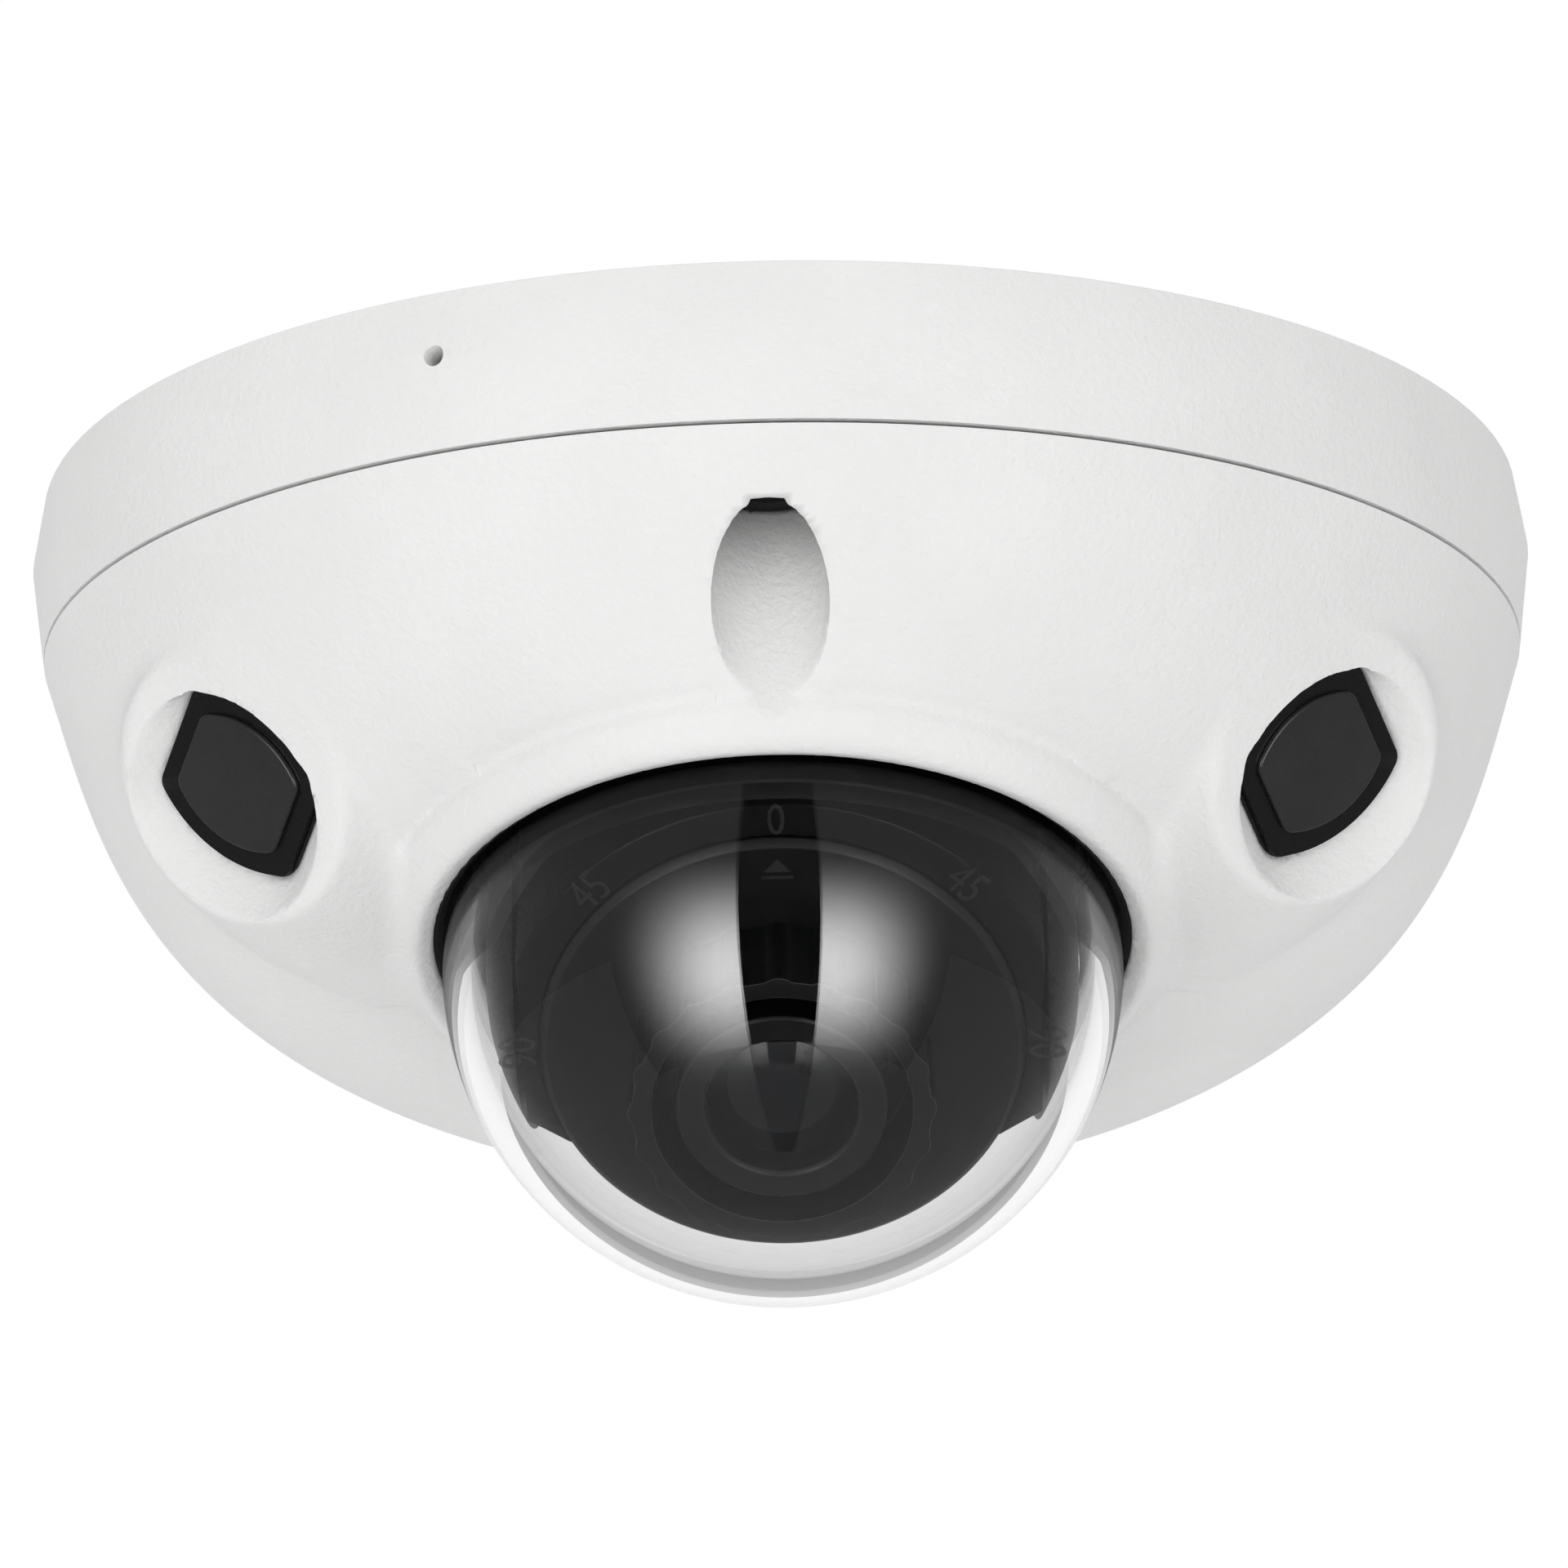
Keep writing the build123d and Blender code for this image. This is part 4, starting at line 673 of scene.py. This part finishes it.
def make_dome():
    """Clear dome: two smooth shells with a skirt and a flange that the clamp ring holds."""
    arc = np.linspace(0, pi / 2, DOME_RINGS)
    profile = [(DOME_R * cos(a), DOME_R * sin(a)) for a in arc]
    profile[-1] = (0.0, DOME_R)
    inner = DOME_R - DOME_WALL
    profile += [(0.0, inner)] + [(inner * cos(a), inner * sin(a)) for a in arc[::-1][1:]]
    profile += [(inner, FLANGE_SEAT_H), (FLANGE_R, FLANGE_SEAT_H)]
    profile += [(FLANGE_R, FLANGE_TOP_H), (DOME_R, FLANGE_TOP_H)]
    obj = lathe("dome_shell", CENTRE, DOME_DIR, profile, DOME_SEGMENTS, DOME_SHARP_ANGLE)
    return ride_on(obj, "housing", "clear_dome", "dome_bubble")


DIAL_DROP, FACE_LIFT, DIAL_MARK_R, ARROW_R = 0.6, 0.05, 17.75, 14.2
DIAL_MARKS = (("0", 0), ("45", 45), ("45", -45), ("90", 90), ("90", -90))
DIGIT_WIDTH, DIGIT_HEIGHT, ARROW_SIZE = 2.6, 3.3, 0.95
ARROW_OUTLINES = (
    ((-1.0, 0.0), (1.0, 0.0), (0.0, 1.0)),
    ((-1.15, -0.55), (1.15, -0.55), (1.15, -0.3), (-1.15, -0.3)),
)


def front_height(node_name):
    """Greatest height of a node along the lens axis, from the dome centre."""
    node = frame["nodes"][node_name]
    coords = np.empty(len(node.data.vertices) * 3)
    node.data.vertices.foreach_get("co", coords)
    return float(((coords.reshape(-1, 3) / MM - CENTRE) @ LENS_DIR).max())


def raised_mark(name, outline_mesh, body, radius, angle, height, scale):
    """Flat mesh (unit size, centred) stood a little proud of a face square to the lens axis.

    It takes the gimbal's slot, and is painted a shade lighter so that it can be read."""
    verts = np.array([v.co[:] for v in outline_mesh.vertices])
    a = radians(angle)
    x, y = verts[:, 0] * scale[0], verts[:, 1] * scale[1]
    px = radius * sin(a) + x * cos(a) + y * sin(a)
    py = radius * cos(a) - x * sin(a) + y * cos(a)
    placed = place(CENTRE, LENS_DIR, px, py, height + verts[:, 2] * scale[2])
    obj = mesh_object(name, placed, [list(p.vertices) for p in outline_mesh.polygons], None)
    tidy_normals(obj)
    shade(obj)
    ride_on(obj, body, "gimbal_plastic")
    return paint(obj, "mark_grey")


def digit_mesh(body_text):
    """Centred mesh of a number, one unit high."""
    curve = bpy.data.curves.new("digits", "FONT")
    curve.body, curve.size, curve.extrude = body_text, 1.0, 0.5
    curve.align_x, curve.align_y = "CENTER", "CENTER"
    curve.resolution_u = 3
    text = bpy.data.objects.new("digits", curve)
    bpy.context.scene.collection.objects.link(text)
    bpy.context.view_layer.update()
    mesh = bpy.data.meshes.new_from_object(text.evaluated_get(bpy.context.evaluated_depsgraph_get()))
    bpy.data.objects.remove(text)
    return mesh


def make_markings():
    """Angle numbers around the dial and a plain arrow at the top of the turret."""
    turret_h = front_height("turret_shell")
    dial_h = turret_h - DIAL_DROP
    for text, angle in DIAL_MARKS:
        side = "top" if angle == 0 else "right" if angle > 0 else "left"
        raised_mark(f"dial_{text}_{side}", digit_mesh(text), "tilt", DIAL_MARK_R, angle, dial_h,
                    (DIGIT_WIDTH, DIGIT_HEIGHT, 2 * FACE_LIFT))
    arrow = bpy.data.meshes.new("arrow")
    verts, faces = [], []
    for shape in ARROW_OUTLINES:
        start, count = len(verts), len(shape)
        verts += [(x, y, h) for h in (-0.5, 0.5) for x, y in shape]
        faces += [list(range(start, start + count))[::-1], list(range(start + count, start + 2 * count))]
        faces += [[start + k, start + (k + 1) % count, start + count + (k + 1) % count, start + count + k]
                  for k in range(count)]
    arrow.from_pydata(verts, [], faces)
    raised_mark("turret_arrow", arrow, "turret", ARROW_R, 0, turret_h,
                (ARROW_SIZE, ARROW_SIZE, 2 * FACE_LIFT))


FLOOR_SIZE, FLOOR_Z = 12, -0.62


def make_stage():
    """Pale floor far below the camera, which hangs as if from a ceiling; clear when seen from below."""
    bpy.ops.mesh.primitive_plane_add(size=FLOOR_SIZE, location=(0, 0, FLOOR_Z))
    floor = bpy.context.active_object
    floor.name = "floor"
    material, nodes, links, shader = new_material("floor_pale")
    shader.inputs["Base Color"].default_value = (0.86, 0.86, 0.86, 1)
    shader.inputs["Roughness"].default_value = 0.9
    side, clear, mix = (nodes.new(kind) for kind in
                        ("ShaderNodeNewGeometry", "ShaderNodeBsdfTransparent", "ShaderNodeMixShader"))
    output = next(n for n in nodes if n.type == "OUTPUT_MATERIAL")
    links.new(side.outputs["Backfacing"], mix.inputs["Fac"])
    links.new(shader.outputs[0], mix.inputs[1])
    links.new(clear.outputs[0], mix.inputs[2])
    links.new(mix.outputs[0], output.inputs["Surface"])
    floor.data.materials.append(material)
    floor.visible_glossy = False


def look_matrix(position, target, up=(0, 0, 1)):
    """Place and turn of a camera or lamp at the position that points at the target."""
    forward = (Vector(target) - Vector(position)).normalized()
    right = forward.cross(Vector(up)).normalized()
    upward = right.cross(forward)
    matrix = Matrix((right, upward, -forward)).transposed().to_4x4()
    matrix.translation = position
    return matrix


VIEW_PITCH, VIEW_YAW, VIEW_ROLL = 17.5, 0.9, -0.87                            # degrees
VIEW_DISTANCE, VIEW_RISE, VIEW_LENS, SENSOR_WIDTH = 0.700, 0.0196, 217.35, 36.0   # metres, metres, mm, mm


def make_camera():
    """Camera in front and a little below, looking up at the object."""
    pitch = radians(VIEW_PITCH)
    forward = Vector((0, cos(pitch), sin(pitch)))
    up = Vector((0, -sin(pitch), cos(pitch)))
    position = -forward * VIEW_DISTANCE - up * VIEW_RISE
    data = bpy.data.cameras.new("camera")
    data.lens, data.sensor_width = VIEW_LENS, SENSOR_WIDTH
    data.clip_start, data.clip_end = 0.01, 50
    camera = bpy.data.objects.new("camera", data)
    bpy.context.scene.collection.objects.link(camera)
    upright = look_matrix(position, position + forward, up)
    yaw, roll = (Matrix.Rotation(radians(angle), 4, "Z") for angle in (VIEW_YAW, VIEW_ROLL))
    camera.matrix_world = yaw @ upright @ roll
    bpy.context.scene.camera = camera


def area_light(name, azimuth, elevation, distance, width, height, power, target=(0, 0, -0.03)):
    """Soft rectangular light that points at the target and shows in no reflection."""
    data = bpy.data.lights.new(name, "AREA")
    data.shape, data.size, data.size_y, data.energy = "RECTANGLE", width, height, power
    light = bpy.data.objects.new(name, data)
    bpy.context.scene.collection.objects.link(light)
    a, e = radians(azimuth), radians(elevation)
    offset = Vector((sin(a) * cos(e), -cos(a) * cos(e), sin(e))) * distance
    light.matrix_world = look_matrix(Vector(target) + offset, target)
    light.visible_camera = False
    light.visible_glossy = False
    light.visible_transmission = False


def screen(name, azimuths, elevations, distance, material, glow=None, steps=28):
    """Patch of a sphere around the dome that shows only in reflections."""
    az, el = (np.radians(np.linspace(*pair, steps)) for pair in (azimuths, elevations))
    grid_az, grid_el = np.meshgrid(az, el, indexing="ij")
    level = np.cos(grid_el)
    points = np.stack([np.sin(grid_az) * level, -np.cos(grid_az) * level, np.sin(grid_el)], -1)
    points = points.reshape(-1, 3) * distance / MM + CENTRE
    faces = [[i * steps + j, (i + 1) * steps + j, (i + 1) * steps + j + 1, i * steps + j + 1]
             for i in range(steps - 1) for j in range(steps - 1)]
    obj = mesh_object(name, points, faces, None)
    if glow is not None:
        attribute = obj.data.attributes.new("glow", "FLOAT", "POINT")
        attribute.data.foreach_set("value", glow(grid_az, grid_el).astype(np.float32).ravel())
    obj.data.materials.append(material)
    obj.visible_camera = False
    obj.visible_diffuse = False


TOP_POWER, FILL_POWER, WORLD_LEVEL, MIRROR_LEVEL = 3.0, 4.7, 0.74, 0.16
SOFTBOX_INNER, SOFTBOX_OUTER, SOFTBOX_LOW, SOFTBOX_HIGH, SOFTBOX_PEAK = 14.0, 62.0, -58.0, 26.0, 6.2
SOFTBOX_PLATEAU, SOFTBOX_FALL, SOFTBOX_UPRIGHT, SOFTBOX_DISTANCE = 0.1, 1.5, 2.6, 0.85
FLAG_ELEVATIONS, FLAG_DISTANCE = (-80, 70), 0.86
BACKDROP_FROM_Y, BACKDROP_FULL_Y = 0.35, 0.95


def softbox_glow(az, el):
    """Brightest beside the sharp inner edge, fading softly outwards, up and down."""
    u = (np.degrees(np.abs(az)) - SOFTBOX_INNER) / (SOFTBOX_OUTER - SOFTBOX_INNER)
    v = (np.degrees(el) - SOFTBOX_LOW) / (SOFTBOX_HIGH - SOFTBOX_LOW)
    fade = np.clip((u - SOFTBOX_PLATEAU) / (1 - SOFTBOX_PLATEAU), 0, 1)
    outward = (1 - fade * fade * (3 - 2 * fade)) ** SOFTBOX_FALL
    upright = np.sin(pi * np.clip(v, 0, 1)) ** SOFTBOX_UPRIGHT
    return MIRROR_LEVEL + SOFTBOX_PEAK * outward * upright


def mirror_only(name, shader_type, attribute=None, colour=None):
    """Stage material that shows only in reflections and lets every other ray through."""
    material = bpy.data.materials.new(name)
    material.use_nodes = True
    nodes, links = material.node_tree.nodes, material.node_tree.links
    nodes.clear()
    path, clear, mix = (nodes.new(kind) for kind in
                        ("ShaderNodeLightPath", "ShaderNodeBsdfTransparent", "ShaderNodeMixShader"))
    shader, output = nodes.new(shader_type), nodes.new("ShaderNodeOutputMaterial")
    if attribute:
        strength = nodes.new("ShaderNodeAttribute")
        strength.attribute_name = attribute
        links.new(strength.outputs["Fac"], shader.inputs["Strength"])
    else:
        shader.inputs["Color"].default_value = colour
    links.new(new_math(nodes, links, "GREATER_THAN", path.outputs["Glossy Depth"], 0.5), mix.inputs["Fac"])
    links.new(clear.outputs[0], mix.inputs[1])
    links.new(shader.outputs[0], mix.inputs[2])
    links.new(mix.outputs[0], output.inputs["Surface"])
    return material


def make_world():
    """White studio: full white where it is looked at, soft light on surfaces; reflections see a dim
    room in front of the object and a white backdrop behind it."""
    world = bpy.data.worlds.new("studio")
    bpy.context.scene.world = world
    world.use_nodes = True
    nodes, links = world.node_tree.nodes, world.node_tree.links
    background = nodes["Background"]
    background.inputs["Color"].default_value = (1, 1, 1, 1)
    path = nodes.new("ShaderNodeLightPath")
    mirrored = new_math(nodes, links, "GREATER_THAN", path.outputs["Glossy Depth"], 0.5)
    lit = new_math(nodes, links, "GREATER_THAN", path.outputs["Diffuse Depth"], 0.5)
    softened = new_math(nodes, links, "MAXIMUM", mirrored, lit)
    direction, axes = nodes.new("ShaderNodeTexCoord"), nodes.new("ShaderNodeSeparateXYZ")
    links.new(direction.outputs["Generated"], axes.inputs[0])
    room = nodes.new("ShaderNodeMapRange")
    room.interpolation_type = "SMOOTHSTEP"
    levels = (BACKDROP_FROM_Y, BACKDROP_FULL_Y, MIRROR_LEVEL, 1.0)
    for socket, value in zip(("From Min", "From Max", "To Min", "To Max"), levels):
        room.inputs[socket].default_value = value
    links.new(axes.outputs["Y"], room.inputs["Value"])
    dimmer = new_math(nodes, links, "MULTIPLY", mirrored,
                      new_math(nodes, links, "SUBTRACT", WORLD_LEVEL, room.outputs[0]))
    lit_level = new_math(nodes, links, "SUBTRACT", WORLD_LEVEL, dimmer)
    drop = new_math(nodes, links, "MULTIPLY", softened, new_math(nodes, links, "SUBTRACT", 1.0, lit_level))
    links.new(new_math(nodes, links, "SUBTRACT", 1.0, drop), background.inputs["Strength"])


def make_lights():
    """Two softboxes with a black flag between them, for reflections; two soft lights and the room."""
    softbox = mirror_only("softbox", "ShaderNodeEmission", attribute="glow")
    card = mirror_only("flag_black", "ShaderNodeBsdfDiffuse", colour=(0.01, 0.01, 0.01, 1))
    for side, label in ((-1, "left"), (1, "right")):
        screen(f"softbox_{label}", (side * SOFTBOX_INNER, side * SOFTBOX_OUTER), (SOFTBOX_LOW, SOFTBOX_HIGH),
               SOFTBOX_DISTANCE, softbox, softbox_glow)
    screen("flag", (-SOFTBOX_INNER, SOFTBOX_INNER), FLAG_ELEVATIONS, FLAG_DISTANCE, card)
    area_light("top_light", azimuth=0, elevation=75, distance=1.2, width=1.2, height=1.2, power=TOP_POWER)
    area_light("front_fill", azimuth=-8, elevation=-32, distance=1.0, width=1.2, height=0.4, power=FILL_POWER)
    make_world()
    bpy.context.scene.view_settings.view_transform = "Standard"


# ================================================================ finish of the CAD pieces
def joined_faces():
    """Node group that joins the faces of a CAD mesh along their shared edges and drops its stored normals."""
    group = bpy.data.node_groups.new("joined_faces", "GeometryNodeTree")
    for side in ("INPUT", "OUTPUT"):
        group.interface.new_socket("Geometry", in_out=side, socket_type="NodeSocketGeometry")
    start, merge, drop, smooth, end = (group.nodes.new(kind) for kind in (
        "NodeGroupInput", "GeometryNodeMergeByDistance", "GeometryNodeRemoveAttribute",
        "GeometryNodeSetShadeSmooth", "NodeGroupOutput"))
    merge.inputs["Distance"].default_value = JOIN_WITHIN
    drop.inputs["Name"].default_value = "custom_normal"
    for first, second in ((start, merge), (merge, drop), (drop, smooth), (smooth, end)):
        group.links.new(first.outputs[0], second.inputs[0])
    return group


def soften(obj, width_mm, segments=2, angle=35):
    """Small bevel on the edges of a CAD piece."""
    obj.modifiers.new("joined", "NODES").node_group = JOINED_FACES
    modifier = obj.modifiers.new("edge", "BEVEL")
    modifier.width, modifier.segments = width_mm * MM, segments
    modifier.limit_method, modifier.angle_limit = "ANGLE", radians(angle)
    obj.modifiers.new("flat_faces", "WEIGHTED_NORMAL").keep_sharp = True


JOIN_WITHIN = 1e-6        # metres
JOINED_FACES = joined_faces()
SOFT_EDGES = {            # bevel width in mm
    "base_housing": 0.25, "ir_window_left": 0.2, "ir_window_right": 0.2, "tilt_housing": 0.2,
    "turret_shell": 0.1, "lens_hood": 0.2, "lens_barrel": 0.07, "pan_yoke": 0.25, "gimbal_plate": 0.2,
    "cable_grommet": 0.25,
}
# materials with a painted edge highlight, used in place of the slot's own
EDGE_HIGHLIGHT_MATERIALS = {"lens_hood": "hood_painted_highlight", "lens_barrel": "barrel_painted_highlight", "turret_shell": "turret_painted_highlight"}


def finish_cad_nodes():
    """Every CAD node gets its slot's material, or the one with a painted edge highlight, and the listed ones get
    soft edges.
    """
    slots = {row["node"]: row["material_slot"] for row in frame["record"]["subparts"]}
    for name, node in frame["nodes"].items():
        paint(node, EDGE_HIGHLIGHT_MATERIALS.get(name, slots[name]))
        if name in SOFT_EDGES:
            soften(node, SOFT_EDGES[name])


finish_cad_nodes()
make_cover()
make_dome()
make_markings()
make_stage()
make_camera()
make_lights()
